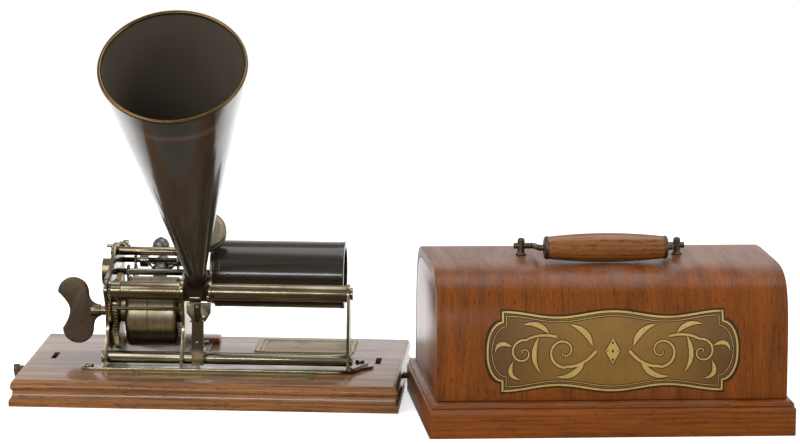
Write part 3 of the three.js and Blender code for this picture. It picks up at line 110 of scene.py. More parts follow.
def turned_size(node):
    """The left end, the right end and the outer radius of a node that is turned along X."""
    low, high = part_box(node)
    return low.x / MM, high.x / MM, max(high.y - low.y, high.z - low.z) / 2 / MM


# What a user can change
def colour(name, description, code):
    """A colour from the usual six-digit code, kept as linear light."""
    shares = [int(code[i : i + 2], 16) / 255 for i in (1, 3, 5)]
    linear = [c / 12.92 if c <= 0.04045 else ((c + 0.055) / 1.055) ** 2.4 for c in shares]
    return bpy.props.FloatVectorProperty(
        name=name, description=description, subtype="COLOR", size=3, min=0, max=1, default=linear
    )


def amount(name, description, default, **kind):
    return bpy.props.FloatProperty(name=name, description=description, default=default, min=0, **kind)


class PhonographColours(bpy.types.PropertyGroup):
    base_light: colour("Base light grain", "Light grain of the base", "#926136")
    base_dark: colour("Base dark grain", "Dark grain of the base", "#4E2E16")
    lid_light: colour("Lid light grain", "Light grain of the lid", "#864509")
    lid_dark: colour("Lid dark grain", "Dark grain of the lid", "#522907")
    grip_light: colour("Grip light grain", "Light grain of the handle grip", "#825026")
    grip_dark: colour("Grip dark grain", "Dark grain of the handle grip", "#482510")
    nickel: colour("Nickel", "Worn nickel plate", "#8C816A")
    # Lighter than the plain nickel: partly its satin turning, partly a painted highlight across the drum and
    # mandrel
    barrel: colour("Barrel", "Satin nickel of the spring barrel and mandrel", "#ACA086")
    nickel_stain: colour("Nickel stain", "Brown stain on the nickel", "#5E4E34")
    face: colour("Reproducer", "Dull face of the reproducer", "#887E6A")
    steel: colour("Steel", "Ground steel", "#8A8270")
    steel_stain: colour("Steel stain", "Oil stain on the steel", "#3C3428")
    iron: colour("Iron", "Dark key and handle iron", "#5E5042")
    iron_stain: colour("Iron stain", "Brown rust bloom", "#4A3828")
    copper: colour("Copper brown", "Oxidised copper-brown", "#42362A")
    copper_stain: colour("Copper stain", "Dark spots on the copper-brown", "#2A231B")
    brass: colour("Wheel brass", "Tarnished brass wheels", "#7C6A44")
    brass_stain: colour("Brass tarnish", "Dark tarnish on brass", "#43371F")
    rim: colour("Rim brass", "Rolled brass of the horn's rim", "#6C5636")
    weights: colour("Governor metal", "Grey-green governor metal", "#6E7268")
    weights_stain: colour("Governor stain", "Dark stain on the governor", "#4A4E42")
    sign: colour("Plate brass", "Bare plates let onto the base", "#948460")
    sign_line: colour("Plate border", "Raised borders of the bare plates", "#B09C6C")
    enamel: colour("Horn enamel", "Black enamel of the horn", "#29241D")
    # The inside is the same enamel, made lighter as painted light in the horn's shaded hollow
    horn_inside_painted_light: colour("Horn inside", "Dull enamel inside the horn", "#554C41")
    band: colour("Horn band", "Copper-brown band below the rim", "#523824")
    wax: colour("Record wax", "Dark brown wax", "#2A2319")
    gilt: colour("Gilt", "Gold of the lid's ornament", "#CDAE62")
    line_dark: colour("Ornament line", "Dark line round the gold", "#2C1C10")
    line_light: colour("Ornament line grain", "Light grain in the line round the gold", "#332113")
    field: colour("Ornament field", "Old gold behind the ornament", "#8C6420")
    field_dark: colour("Ornament shade", "Brown shade of the old gold", "#4E2E10")
    mica: colour("Mica", "Mica of the diaphragm", "#8E8674")


class PhonographSizes(bpy.types.PropertyGroup):
    edge: amount("Edge rounding", "Rounding of metal edges", 0.35 * MM, unit="LENGTH")
    wood_edge: amount("Wood rounding", "Rounding of wooden edges", 0.9 * MM, unit="LENGTH")
    groove_pitch: amount("Groove pitch", "Distance between the record's grooves", 0.5 * MM, unit="LENGTH")
    floor_size: amount("Floor size", "Side of the floor", 2.0, unit="LENGTH")
    key_power: amount("Key light", "Power of the large front light", 40.0, unit="POWER")
    fill_power: amount("Fill light", "Power of the top light", 26.0, unit="POWER")
    strip_power: amount("Strip light", "Power of the long low front light", 13.0, unit="POWER")
    sky_level: amount("Sky level", "Strength of the light from all round", 0.46, subtype="FACTOR")


# Outlines, as lists of (a, b) pairs
def bowed(start, bend, end, steps=6):
    """Points from a start to an end, bowed toward a third place; the start is left out."""
    shares = [i / steps for i in range(1, steps + 1)]
    return [
        tuple(a * (1 - t) ** 2 + b * 2 * t * (1 - t) + c * t * t for a, b, c in zip(start, bend, end))
        for t in shares
    ]


def traced(*stops):
    """An outline through its stops: each is a place, or the bend and end of a curve from the last one."""
    points = []
    for stop in stops:
        if isinstance(stop[0], tuple):
            points += bowed(points[-1], *stop)
        else:
            points.append(stop)
    return points


def arc(centre, reach, start, end, steps):
    """Points of an arc between two shares of a turn, with one reach for each direction."""
    turns = [FULL_TURN * (start + (end - start) * i / steps) for i in range(steps + 1)]
    return [(centre[0] + reach[0] * math.cos(turn), centre[1] + reach[1] * math.sin(turn)) for turn in turns]


def circle(centre, radius, count, start=0.0):
    """Places round a circle, from a share of a turn."""
    return arc(centre, (radius, radius), start, start + 1, count)[:-1]


def rectangle(low, high):
    return [(low[0], low[1]), (high[0], low[1]), (high[0], high[1]), (low[0], high[1])]


def rounded_rectangle(low, high, radius, steps=6):
    inner = rectangle([place + radius for place in low], [place - radius for place in high])
    outline = []
    for corner, centre in enumerate((inner[2], inner[3], inner[0], inner[1])):
        outline += arc(centre, (radius, radius), corner / 4, (corner + 1) / 4, steps)
    return outline


EASE_LIMIT_SHARE = 0.45


def eased(profile, reach, steps=3):
    """A profile with each of its corners rounded over a short reach."""
    closed = profile[0][1] > 0
    rounded = []
    for i, corner in enumerate(profile):
        if not closed and i in (0, len(profile) - 1):
            rounded.append(corner)
            continue
        here = Vector(corner)
        before = Vector(profile[i - 1]) - here
        after = Vector(profile[(i + 1) % len(profile)]) - here
        start = here + before * min(reach / before.length, EASE_LIMIT_SHARE)
        end = here + after * min(reach / after.length, EASE_LIMIT_SHARE)
        rounded += [tuple(start), *bowed(start, here, end, steps)]
    return rounded


def smooth_path(places, steps=8):
    """A curve through places, by Catmull and Rom's rule."""
    ends = [places[0] * 2 - places[1], *places, places[-1] * 2 - places[-2]]
    path = []
    for before, here, there, after in zip(ends, ends[1:], ends[2:], ends[3:]):
        slope = there - before
        curve = before * 2 - here * 5 + there * 4 - after
        twist = here * 3 - before - there * 3 + after
        for t in (i / steps for i in range(steps)):
            path.append((here * 2 + slope * t + curve * t**2 + twist * t**3) / 2)
    return [*path, places[-1]]


# How a slab's outline and height lie: flat, facing the front, or along X
def flat(a, b, height):
    return (a, b, height)


def facing(a, b, depth):
    return (a, depth, b)


def lengthwise(a, b, x):
    return (x, a, b)


# Meshes
def make(name, points, faces):
    """A closed mesh object, from points in millimetres, with its faces turned outward."""
    mesh = bpy.data.meshes.new(name)
    mesh.from_pydata([Vector(point) * MM for point in points], [], faces)
    work = bmesh.new()
    work.from_mesh(mesh)
    bmesh.ops.recalc_face_normals(work, faces=work.faces)
    work.to_mesh(mesh)
    work.free()
    return placed(name, mesh)


def placed(name, mesh):
    piece = bpy.data.objects.new(name, mesh)
    bpy.context.scene.collection.objects.link(piece)
    return piece


def smooth(piece, sharp=38):
    """Smooth shading that keeps edges sharper than an angle in degrees."""
    piece.data.polygons.foreach_set("use_smooth", [True] * len(piece.data.polygons))
    piece.data.set_sharp_from_angle(angle=math.radians(sharp))
    return piece


def applied(piece):
    """The piece with its modifiers made part of its mesh."""
    bpy.context.view_layer.update()
    depsgraph = bpy.context.evaluated_depsgraph_get()
    finished = bpy.data.meshes.new_from_object(piece.evaluated_get(depsgraph))
    piece.modifiers.clear()
    piece.data = finished
    return piece


def rounded_edges(piece, width, segments=2, sharp=40):
    """The piece with its edges sharper than an angle in degrees rounded."""
    bevel = piece.modifiers.new("edges", "BEVEL")
    bevel.width = width * MM
    bevel.segments = segments
    bevel.limit_method = "ANGLE"
    bevel.angle_limit = math.radians(sharp)
    bevel.use_clamp_overlap = True
    return smooth(applied(piece))


def side_faces(rings, count, closed=False):
    """Faces between rings that follow each other, and from the last to the first if closed."""
    faces = []
    for ring in range(rings if closed else rings - 1):
        here = count * ring
        above = count * ((ring + 1) % rings)
        for i in range(count):
            j = (i + 1) % count
            faces.append((here + i, here + j, above + j, above + i))
    return faces


def tube_faces(rings, count):
    """The faces of a closed tube: its sides and its two ends."""
    last = (rings - 1) * count
    return [*side_faces(rings, count), tuple(range(count))[::-1], tuple(range(last, last + count))]


def lathe(name, profile, foot, axis, sides=ROUND_SIDES):
    """A turned piece from (station, radius) pairs along an axis from a foot."""
    axis = Vector(axis).normalized()
    across = axis.orthogonal().normalized()
    beside = axis.cross(across)
    points = []
    rings = []
    for station, radius in profile:
        middle = Vector(foot) + axis * station
        count = sides if radius > 0 else 1
        rings.append([len(points) + i for i in range(count)])
        for a, b in circle((0, 0), 1, sides)[:count]:
            points.append(middle + (across * a + beside * b) * radius)
    following = rings[1:] + (rings[:1] if profile[0][1] > 0 else [])
    faces = []
    for low, high in zip(rings, following):
        for i in range(sides):
            around = ((low, i), (low, (i + 1) % sides), (high, (i + 1) % sides), (high, i))
            faces.append(list(dict.fromkeys(ring[place % len(ring)] for ring, place in around)))
    return make(name, points, [face for face in faces if len(face) > 2])


def turned_x(name, profile, centre, sides=ROUND_SIDES):
    """A turned piece along X through a centre."""
    return smooth(lathe(name, profile, (0, centre.y, centre.z), X_AXIS, sides))


def slab(name, outline, low, high, place):
    """A closed slab over an outline; place maps (a, b, height) to a point."""
    points = [place(a, b, height) for height in (low, high) for a, b in outline]
    return make(name, points, tube_faces(2, len(outline)))


def block(name, low, high):
    """A plain block between two corners."""
    return slab(name, rectangle(low, high), low[2], high[2], flat)


def tube_along(name, path, radius, normal, sides=SMALL_SIDES):
    """A round rod along a flat path; the normal stands square to the path's plane."""
    section = circle((0, 0), radius, sides)
    points = []
    for i, centre in enumerate(path):
        tangent = path[min(i + 1, len(path) - 1)] - path[max(i - 1, 0)]
        up = tangent.cross(normal).normalized()
        points += [centre + normal * a + up * b for a, b in section]
    return smooth(make(name, points, tube_faces(len(path), sides)), sharp=60)


def moulding(name, low, high, insets, shares, wall=None):
    """A mitred moulding round a rectangle from (inset, height) shares: solid, or hollow inside a wall."""
    levels = [(a * insets[0], a * insets[1], low.z + b * (high.z - low.z)) for a, b in shares]
    if wall:
        levels += [(*wall, high.z), (*wall, low.z)]
    points = []
    for inset_x, inset_y, z in levels:
        around = rectangle((low.x + inset_x, low.y + inset_y), (high.x - inset_x, high.y - inset_y))
        points += [(x, y, z) for x, y in around]
    return make(name, points, side_faces(len(levels), 4, True) if wall else tube_faces(len(levels), 4))


def joined(name, *pieces):
    """One object from several."""
    work = bmesh.new()
    for piece in pieces:
        work.from_mesh(piece.data)
        bpy.data.objects.remove(piece)
    mesh = bpy.data.meshes.new(name)
    work.to_mesh(mesh)
    work.free()
    return placed(name, mesh)


def carved(piece, *cutters):
    """The piece less its cutters, which are then removed."""
    for cutter in cutters:
        change = piece.modifiers.new("cut", "BOOLEAN")
        change.operation = "DIFFERENCE"
        change.solver = "EXACT"
        change.object = cutter
    applied(piece)
    for cutter in cutters:
        bpy.data.objects.remove(cutter)
    return piece


def fitted(piece, body, finish_name, *nodes):
    """The piece with its material, its body and the frame's nodes that it stands for."""
    material = finish(finish_name)
    piece.data.materials.clear()
    piece.data.materials.append(material)
    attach(piece, body)
    if nodes:
        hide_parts(*nodes)
    return piece


# Points closer than this, in metres, and faces flatter than this are joined in copies of nodes
WELD = 1e-6
FLAT_ANGLE = math.radians(0.5)


def dressed(finish_name, edge, *nodes, segments=2):
    """Copies of the frame's nodes with joined facets and rounded edges."""
    for node in nodes:
        mesh = frame["nodes"][node].data.copy()
        work = bmesh.new()
        work.from_mesh(mesh)
        bmesh.ops.remove_doubles(work, verts=work.verts, dist=WELD)
        bmesh.ops.dissolve_limit(work, angle_limit=FLAT_ANGLE, verts=work.verts, edges=work.edges)
        work.to_mesh(mesh)
        work.free()
        piece = rounded_edges(placed(node + "_dressed", mesh), edge, segments)
        fitted(piece, frame["nodes"][node]["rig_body"], finish_name, node)


HEAD_SHOULDER_SHARE = 0.45
HEAD_CROWN_SHARE = 0.8


def bolt_head(name, centre, size, body, axis):
    """A domed steel head of a (radius, height) size."""
    radius, height = size
    shoulder = (height * HEAD_SHOULDER_SHARE, radius)
    dome = [(0, 0), (0, radius), *bowed(shoulder, (height, radius * HEAD_CROWN_SHARE), (height, 0))]
    fitted(smooth(lathe(name, dome, centre, axis, SMALL_SIDES)), body, "steel")


# The lid stands turned beside the machine, and its pieces are drawn square to it
LID_TURN = 8
LID_CORNER = (186.5, -206.5)
LID_LENGTH = 287
LID_DEPTH = 200
LID_MIDDLE = LID_LENGTH / 2


# Shader nodes
class Signal:
    """An output of a shader node that adds, subtracts and multiplies like a number."""

    def __init__(self, socket):
        self.socket = socket
        self.tree = socket.id_data

    def maths(self, operation, other=0.0, clamp=False):
        return node(self.tree, "Math", (self, other), operation=operation, use_clamp=clamp)

    def __add__(self, other):
        return self.maths("ADD", other)

    def __sub__(self, other):
        return self.maths("SUBTRACT", other)

    def __mul__(self, other):
        return self.maths("MULTIPLY", other)


def feed(source, target):
    """A link from a signal, or a plain value."""
    if isinstance(source, Signal):
        source.tree.links.new(source.socket, target)
    else:
        target.default_value = source


def node(tree, kind, inputs=(), output=0, **settings):
    """An output of a new shader node; its inputs come in their order, or by name in a dictionary."""
    made = tree.nodes.new("ShaderNode" + kind)
    for label, value in settings.items():
        setattr(made, label, value)
    for place, value in inputs.items() if isinstance(inputs, dict) else enumerate(inputs):
        feed(value, made.inputs[place])
    return Signal(made.outputs[output])


def noise(vector, scale=1.0, detail=2.0, roughness=0.5, distortion=0.0):
    inputs = {"Vector": vector, "Scale": scale, "Detail": detail, "Roughness": roughness}
    inputs["Distortion"] = distortion
    return node(vector.tree, "TexNoise", inputs, "Fac", noise_dimensions="3D")


def ramp(signal, edge, levels=(0.0, 1.0)):
    """A signal that goes from one level to another between the two ends of an edge."""
    inputs = (signal, *edge, *levels)
    return node(signal.tree, "MapRange", inputs, clamp=True, interpolation_type="SMOOTHSTEP")


def mixed(share, first, second, mode="MIX"):
    inputs = {"Factor": share, "A": first, "B": second}
    return node(share.tree, "Mix", inputs, "Result", data_type="RGBA", blend_type=mode)


def stretched(vector, scales):
    return node(vector.tree, "VectorMath", (vector, scales), operation="MULTIPLY")


def part(vector, axis):
    return node(vector.tree, "SeparateXYZ", (vector,), axis)


def turned(vector, degrees):
    """Places turned about Z, so that a grain follows its piece."""
    inputs = {"Vector": vector, "Angle": math.radians(degrees)}
    return node(vector.tree, "VectorRotate", inputs, rotation_type="Z_AXIS")


def round_the_arch(vector):
    """Places with their first part running up the front and over the top, for grain that follows a bend."""
    climb = part(vector, "Y") + part(vector, "Z")
    return node(vector.tree, "CombineXYZ", {"X": climb, "Y": part(vector, "X")})


def bump(height, strength, distance):
    inputs = {"Strength": strength, "Distance": distance, "Height": height}
    return node(height.tree, "Bump", inputs, "Normal")


def rgba(shares):
    return (*shares, 1.0)


# Grain of oak along X: the stretch of its noises, where each begins and ends, and its share
RING_STRETCH = (5.0, 55.0, 42.0)
BAND_STRETCH = (8.0, 90.0, 90.0)
FIBRE_STRETCH = (30.0, 700.0, 600.0)
PORE_STRETCH = (120.0, 820.0, 800.0)
RAY_STRETCH = (45.0, 260.0, 260.0)
PORE_EDGE = (0.60, 0.70)
RAY_EDGE = (0.62, 0.74)
TONE_EDGE = (0.22, 0.86)
RING_SHARE = 0.55
FIBRE_SHARE = 0.5
RAY_SHARE = 0.22
PORE_DEPTH = 0.8
GRAIN_ROUGHNESS = (0.42, 0.30)
WHOLE = (0.0, 1.0)
FALLING = (1.0, 0.0)


def oak_grain(vector, light, dark, pores, figure):
    """Broad rings, fine fibres, dark pores and pale rays, as colour, roughness and height."""
    rings = noise(stretched(vector, RING_STRETCH), detail=3.0, distortion=1.2)
    wave = {"Vector": stretched(vector, BAND_STRETCH), "Scale": 1.0, "Distortion": 7.0, "Detail": 2.0}
    wave["Detail Scale"] = 0.6
    shape = {"wave_type": "BANDS", "bands_direction": "Z", "wave_profile": "SIN"}
    bands = node(vector.tree, "TexWave", wave, "Fac", **shape)
    fibres = noise(stretched(vector, FIBRE_STRETCH)) * FIBRE_SHARE
    pits = ramp(noise(stretched(vector, PORE_STRETCH), detail=1.0), PORE_EDGE)
    rays = ramp(noise(stretched(vector, RAY_STRETCH), detail=1.0), RAY_EDGE)
    tone = ramp(rings * RING_SHARE + bands * figure + fibres, TONE_EDGE)
    pored = mixed(pits * pores, mixed(tone, dark, light), dark, "MULTIPLY")
    flecked = mixed(rays * RAY_SHARE, pored, light)
    return flecked, ramp(tone, WHOLE, GRAIN_ROUGHNESS), fibres - pits * PORE_DEPTH


# Noises are given as scale, detail, roughness and distortion
PATCH_NOISE = (34.0, 3.0, 0.5, 0.3)
PATCH_EDGE = (0.36, 0.72)
SPOT_SCALE = 420.0
SPOT_EDGE = (0.58, 0.72)
RUBBED_EDGE = (0.52, 0.60)
STREAK_EDGE = (0.35, 0.65)
STREAK_LEVELS = (0.86, 1.08)
STAIN_ROUGHNESS = 0.14
SCRATCH_ROUGHNESS = 0.10
SPOT_DEPTH = -0.6


def patina(vector, metal, stain, amount, rub, spots, direction):
    """Worn metal with stains in patches, fine scratches and rubbed edges, as colour, roughness and height."""
    patches = ramp(noise(vector, *PATCH_NOISE), PATCH_EDGE) * amount
    spotted = ramp(noise(vector, SPOT_SCALE), SPOT_EDGE) * spots
    scratches = noise(stretched(vector, direction))
    rubbed = ramp(node(vector.tree, "NewGeometry", output="Pointiness"), RUBBED_EDGE) * rub
    stained = patches.maths("MAXIMUM", spotted).maths("SUBTRACT", rubbed, clamp=True)
    plain = mixed(stained, metal, stain)
    inputs = {0: plain, "Scale": ramp(scratches, STREAK_EDGE, STREAK_LEVELS)}
    streaked = node(vector.tree, "VectorMath", inputs, operation="SCALE")
    roughness = stained * STAIN_ROUGHNESS + scratches * SCRATCH_ROUGHNESS
    return streaked, roughness, scratches + spotted * SPOT_DEPTH


GRIME_COLOUR = (0.035, 0.026, 0.018, 1.0)
# Pale grey of dust on upward faces; on the lid's top it is also a painted sheen of the varnish
DUST_AND_SHEEN_COLOUR = (0.55, 0.50, 0.45, 1.0)
HOLLOW_EDGE = (0.40, 0.50)
CLOUD_NOISE = (38.0, 3.0, 0.6)
CLOUD_EDGE = (0.45, 0.75)
CLOUD_SHARE = 0.45
DUSTY_EDGE = (0.35, 0.7)
UPWARD_EDGE = (0.55, 1.0)


def grime(vector, clean, amount, dust_and_sheen):
    """Dark grime in the hollows and pale dust on faces that look up, which on the lid's top also paints a
    grey sheen of the varnish, as colour and a mask of both.
    """
    hollow = ramp(node(vector.tree, "NewGeometry", output="Pointiness"), HOLLOW_EDGE, FALLING) * amount
    clouds = noise(vector, *CLOUD_NOISE)
    dark = hollow.maths("MAXIMUM", ramp(clouds, CLOUD_EDGE) * amount * CLOUD_SHARE)
    upward = part(node(vector.tree, "NewGeometry", output="Normal"), "Z")
    settled_dust_and_sheen = ramp(upward, UPWARD_EDGE) * ramp(clouds, DUSTY_EDGE) * dust_and_sheen
    return mixed(settled_dust_and_sheen, mixed(dark, clean, GRIME_COLOUR), DUST_AND_SHEEN_COLOUR), settled_dust_and_sheen


# The shader groups: their recipe, and the kinds of their inputs and outputs
GRAIN_INPUTS = {"Vector": "Vector", "Light": "Color", "Dark": "Color", "Pores": "Float", "Figure": "Float"}
PATINA_INPUTS = {
    "Vector": "Vector", "Metal": "Color", "Stain": "Color", "Amount": "Float", "Rub": "Float",
    "Spots": "Float", "Direction": "Vector",
}
GRIME_INPUTS = {"Vector": "Vector", "Color": "Color", "Grime": "Float", "Dust": "Float"}
SURFACE = {"Color": "Color", "Roughness": "Float", "Height": "Float"}
GROUPS = {
    "Oak grain": (oak_grain, GRAIN_INPUTS, SURFACE),
    "Patina": (patina, PATINA_INPUTS, SURFACE),
    "Grime": (grime, GRIME_INPUTS, {"Color": "Color", "Dust And Sheen Mask": "Float"}),
}


@cache
def group_tree(name):
    """One of the shader groups, made when it is first asked for."""
    recipe, inputs, outputs = GROUPS[name]
    tree = bpy.data.node_groups.new(name, "ShaderNodeTree")
    for way, sockets in (("INPUT", inputs), ("OUTPUT", outputs)):
        for label, kind in sockets.items():
            tree.interface.new_socket(label, in_out=way, socket_type="NodeSocket" + kind)
    source = tree.nodes.new("NodeGroupInput").outputs
    result = tree.nodes.new("NodeGroupOutput").inputs
    for label, signal in zip(outputs, recipe(*(Signal(source[label]) for label in inputs))):
        feed(signal, result[label])
    return tree


def grouped(name, *inputs):
    """The outputs of a shader group that is fed in order, its places first."""
    made = inputs[0].tree.nodes.new("ShaderNodeGroup")
    made.node_tree = group_tree(name)
    for value, socket in zip(inputs, made.inputs):
        feed(value, socket)
    return [Signal(socket) for socket in made.outputs]


# Materials
def new_material(name, slot=None):
    """A material, and the signal of places on its object."""
    material = bpy.data.materials.new(name)
    material.use_nodes = True
    if slot:
        material["slot"] = slot
    return material, node(material.node_tree, "TexCoord", output="Object")


def shade(material, shown, roughness, **values):
    """The material with its shader's inputs set; names have underscores for spaces."""
    shader = material.node_tree.nodes["Principled BSDF"].inputs
    feed(shown, shader["Base Color"])
    feed(roughness, shader["Roughness"])
    for label, value in values.items():
        feed(value, shader[label.replace("_", " ")])
    return material


VARNISH_ROUGHNESS = 0.14
SATIN_ROUGHNESS = 0.32
OAK_GRIME = 0.4
OAK_SHINE = 0.08
DUST_ROUGHNESS = 0.5

# Bumps are given as strength and distance in metres
GRAIN_BUMP = (0.22, 0.0003)

# The woods, named for their two colours and turned in degrees; bent ones carry their grain over the arch
ALONG_LID = -LID_TURN
ACROSS_LID = 90 - LID_TURN
# The dust of each wood is also a painted grey sheen on the lid's upward faces
OAKS = {
    "base_oak": {"wood": "base", "pores": 0.5, "figure": 0.2, "dust_and_sheen": 0.12, "coat": 0.55},
    "lid_oak": {"wood": "lid", "turn": ALONG_LID, "figure": 0.12, "coat": 0.3},
    "lid_oak_bent": {
        "wood": "lid", "turn": ALONG_LID, "bent": True, "pores": 0.5, "figure": 0.06, "coat": 0.25,
    },
    "lid_oak_ends": {"wood": "lid", "turn": ACROSS_LID, "figure": 0.12, "dust_and_sheen": 0.02, "coat": 1.0},
    "lid_oak_boards": {
        "wood": "lid", "turn": ACROSS_LID, "bent": True, "pores": 0.5, "figure": 0.1, "dust_and_sheen": 0.02,
        "coat": 1.0,
    },
    "grip_oak": {"wood": "grip", "turn": ALONG_LID, "pores": 0.6, "figure": 0.55, "coat": 0.5},
    "ornament_line": {"wood": "line", "turn": ALONG_LID, "pores": 0.6, "figure": 0.3, "coat": 0.6},
}


def oak(name, wood, figure, coat, turn=0, bent=False, pores=0.4, dust_and_sheen=0.1):
    """Varnished oak with its grain along X before it is turned."""
    colours = bpy.context.scene.phonograph_colours
    material, place = new_material(name, "lid_oak" if wood == "line" else wood + "_oak")
    along = turned(place, turn)
    if bent:
        along = round_the_arch(along)
    light, dark = (rgba(getattr(colours, f"{wood}_{tone}")) for tone in ("light", "dark"))
    grain, roughness, height = grouped("Oak grain", along, light, dark, pores, figure)
    # Pale dust on upward faces, which on the lid's top is also a painted grey sheen
    aged, dust_and_sheen_mask = grouped("Grime", place, grain, OAK_GRIME, dust_and_sheen)
    gloss = SATIN_ROUGHNESS if wood == "lid" else VARNISH_ROUGHNESS
    return shade(
        material, aged, dust_and_sheen_mask * DUST_ROUGHNESS + roughness, Normal=bump(height, *GRAIN_BUMP),
        Coat_Weight=coat, Coat_Roughness=gloss, Specular_IOR_Level=OAK_SHINE,
    )


# Scratches drawn along X, turned round X, and with no direction of their own
DRAWN = (20.0, 1300.0, 1300.0)
TURNED = (1500.0, 30.0, 30.0)
EVEN = (420.0, 420.0, 420.0)
METAL_DUST = 0.04
METAL_BUMP = (0.1, 0.00004)

# The metals: slot, colour, stain, then amount of stain, rubbing, roughness, grime, spots and scratches
METALS = {
    "nickel": ("nickel", "nickel", "nickel_stain", 0.7, 0.5, 0.12, 0.3, 0.1, DRAWN),
    # The turned nickel's lighter colour partly paints the highlight band on the barrel and mandrel
    "turned_nickel_and_highlight": ("nickel", "barrel", "nickel_stain", 0.5, 0.5, 0.26, 0.3, 0.05, TURNED),
    "reproducer_face": ("nickel", "face", "nickel_stain", 0.35, 0.4, 0.42, 0.3, 0.1, EVEN),
    "steel": ("steel", "steel", "steel_stain", 0.7, 0.5, 0.12, 0.3, 0.2, DRAWN),
    "dark_metal": ("dark_metal", "iron", "iron_stain", 0.4, 0.3, 0.38, 0.2, 0.2, EVEN),
    "copper_brown": ("copper_brown", "copper", "copper_stain", 0.6, 0.5, 0.3, 0.3, 0.2, DRAWN),
    "wheel_brass": ("wheel_brass", "brass", "brass_stain", 0.6, 0.5, 0.26, 0.3, 0.2, DRAWN),
    "rim_brass": ("rim_brass", "rim", "brass_stain", 0.35, 0.4, 0.16, 0.3, 0.2, EVEN),
    "governor_metal": ("governor_metal", "weights", "weights_stain", 0.4, 0.4, 0.3, 0.3, 0.2, DRAWN),
    "sign_metal": ("sign_metal", "sign", "brass_stain", 0.7, 0.8, 0.36, 0.3, 0.2, DRAWN),
    "sign_edge": ("sign_metal", "sign_line", "brass_stain", 0.2, 0.4, 0.3, 0.3, 0.2, DRAWN),
}


def metal(name, slot, plain, stain, amount, rub, rough, dirt, spots, scratches):
    colours = bpy.context.scene.phonograph_colours
    material, place = new_material(name, slot)
    tints = (rgba(getattr(colours, tint)) for tint in (plain, stain))
    worn, roughness, height = grouped("Patina", place, *tints, amount, rub, spots, scratches)
    aged, _ = grouped("Grime", place, worn, dirt, METAL_DUST)
    return shade(material, aged, roughness + rough, Metallic=1.0, Normal=bump(height, *METAL_BUMP))


# The horn's band below the rim, in metres from its foot
BAND_START = 0.2365
BAND_END = 0.2435
BAND_SOFT = 0.0006
BAND_STRENGTH = 0.85
ENAMEL_NOISE = (30.0, 4.0, 0.6)
ENAMEL_WEAR = 0.12
ENAMEL_WEAR_EDGE = (0.50, 0.78)
ENAMEL_EDGE = (0.3, 0.7)
ENAMEL_ROUGHNESS = (0.16, 0.26)
INSIDE_ROUGHNESS = (0.51, 0.61)
ENAMEL_GRIME = (0.2, 0.05)
ENAMEL_COAT = (0.6, 0.08)
ENAMEL_WAVES = 60.0
ENAMEL_BUMP = (0.05, 0.0004)


def horn_enamel(name):
    """Black enamel with a rubbed brown sheen; outside it has a copper-brown band below the rim, and inside a
    lighter colour paints light into the horn's shade.
    """
    colours = bpy.context.scene.phonograph_colours
    outside = name == "horn_enamel"
    material, place = new_material(name, "black_enamel")
    inputs = (place, tuple(HORN_AXIS))
    along = node(place.tree, "VectorMath", inputs, "Value", operation="DOT_PRODUCT")
    station = along - (HORN_FOOT * MM).dot(HORN_AXIS)
    start = ramp(station, (BAND_START, BAND_START + BAND_SOFT))
    band = start * ramp(station, (BAND_END, BAND_END + BAND_SOFT), FALLING)
    clouds = noise(place, *ENAMEL_NOISE)
    worn = ramp(clouds, ENAMEL_WEAR_EDGE) * ENAMEL_WEAR
    # Inside, a lighter colour than the enamel paints light into the horn's shade
    plain, brown = rgba(colours.enamel if outside else colours.horn_inside_painted_light), rgba(colours.band)
    striped = mixed(band * (BAND_STRENGTH if outside else 0.0), mixed(worn, plain, brown), brown)
    aged, _ = grouped("Grime", place, striped, *ENAMEL_GRIME)
    roughness = ramp(clouds, ENAMEL_EDGE, ENAMEL_ROUGHNESS if outside else INSIDE_ROUGHNESS)
    normal = bump(noise(place, ENAMEL_WAVES), *ENAMEL_BUMP)
    coat, gloss = ENAMEL_COAT
    coat = coat if outside else 0.0
    return shade(material, aged, roughness, Normal=normal, Coat_Weight=coat, Coat_Roughness=gloss)


WAX_STRETCH = (30.0, 90.0, 90.0)
WAX_EDGE = (0.35, 0.7)
WAX_WEAR = (0.0, 0.25)
WAX_ROUGHNESS = (0.13, 0.2)
WAX_BUMP = (0.12, 0.00003)
SOFT_EDGE = (0.3, 0.7)


def grooved_wax(name):
    """Dark wax with fine grooves round the record."""
    scene = bpy.context.scene
    material, place = new_material(name, "record_wax")
    wave = (part(place, "X") * (FULL_TURN / scene.phonograph_sizes.groove_pitch)).maths("SINE")
    clouds = noise(stretched(place, WAX_STRETCH), detail=3.0)
    tints = (rgba(tint) for tint in (scene.phonograph_colours.wax, scene.phonograph_colours.enamel))
    worn = mixed(ramp(clouds, WAX_EDGE, WAX_WEAR), *tints)
    roughness = ramp(clouds, SOFT_EDGE, WAX_ROUGHNESS)
    return shade(material, worn, roughness, Normal=bump(wave, *WAX_BUMP))


GILT_CRACKLE = (900.0, 3.0, 0.7)
GILT_CLOUDS = (60.0, 3.0)
GILT_CRACK = (0.10, 0.05, 0.02, 1.0)
GILT_CRACK_EDGE = (0.55, 0.68)
GILT_SHADE = (0.25, 0.13, 0.04, 1.0)
GILT_SHADE_EDGE = (0.4, 0.75)
GILT_ROUGHNESS = (0.34, 0.54)


def gilded(name):
    """Old gold leaf, broken up by fine wear."""
    material, place = new_material(name, "rim_brass")
    crackle = ramp(noise(place, *GILT_CRACKLE), GILT_CRACK_EDGE) * 0.5
    dull = noise(place, *GILT_CLOUDS)
    worn = mixed(crackle, rgba(bpy.context.scene.phonograph_colours.gilt), GILT_CRACK)
    shaded = mixed(ramp(dull, GILT_SHADE_EDGE, (0.0, 0.4)), worn, GILT_SHADE)
    return shade(material, shaded, ramp(dull, SOFT_EDGE, GILT_ROUGHNESS), Metallic=0.55)


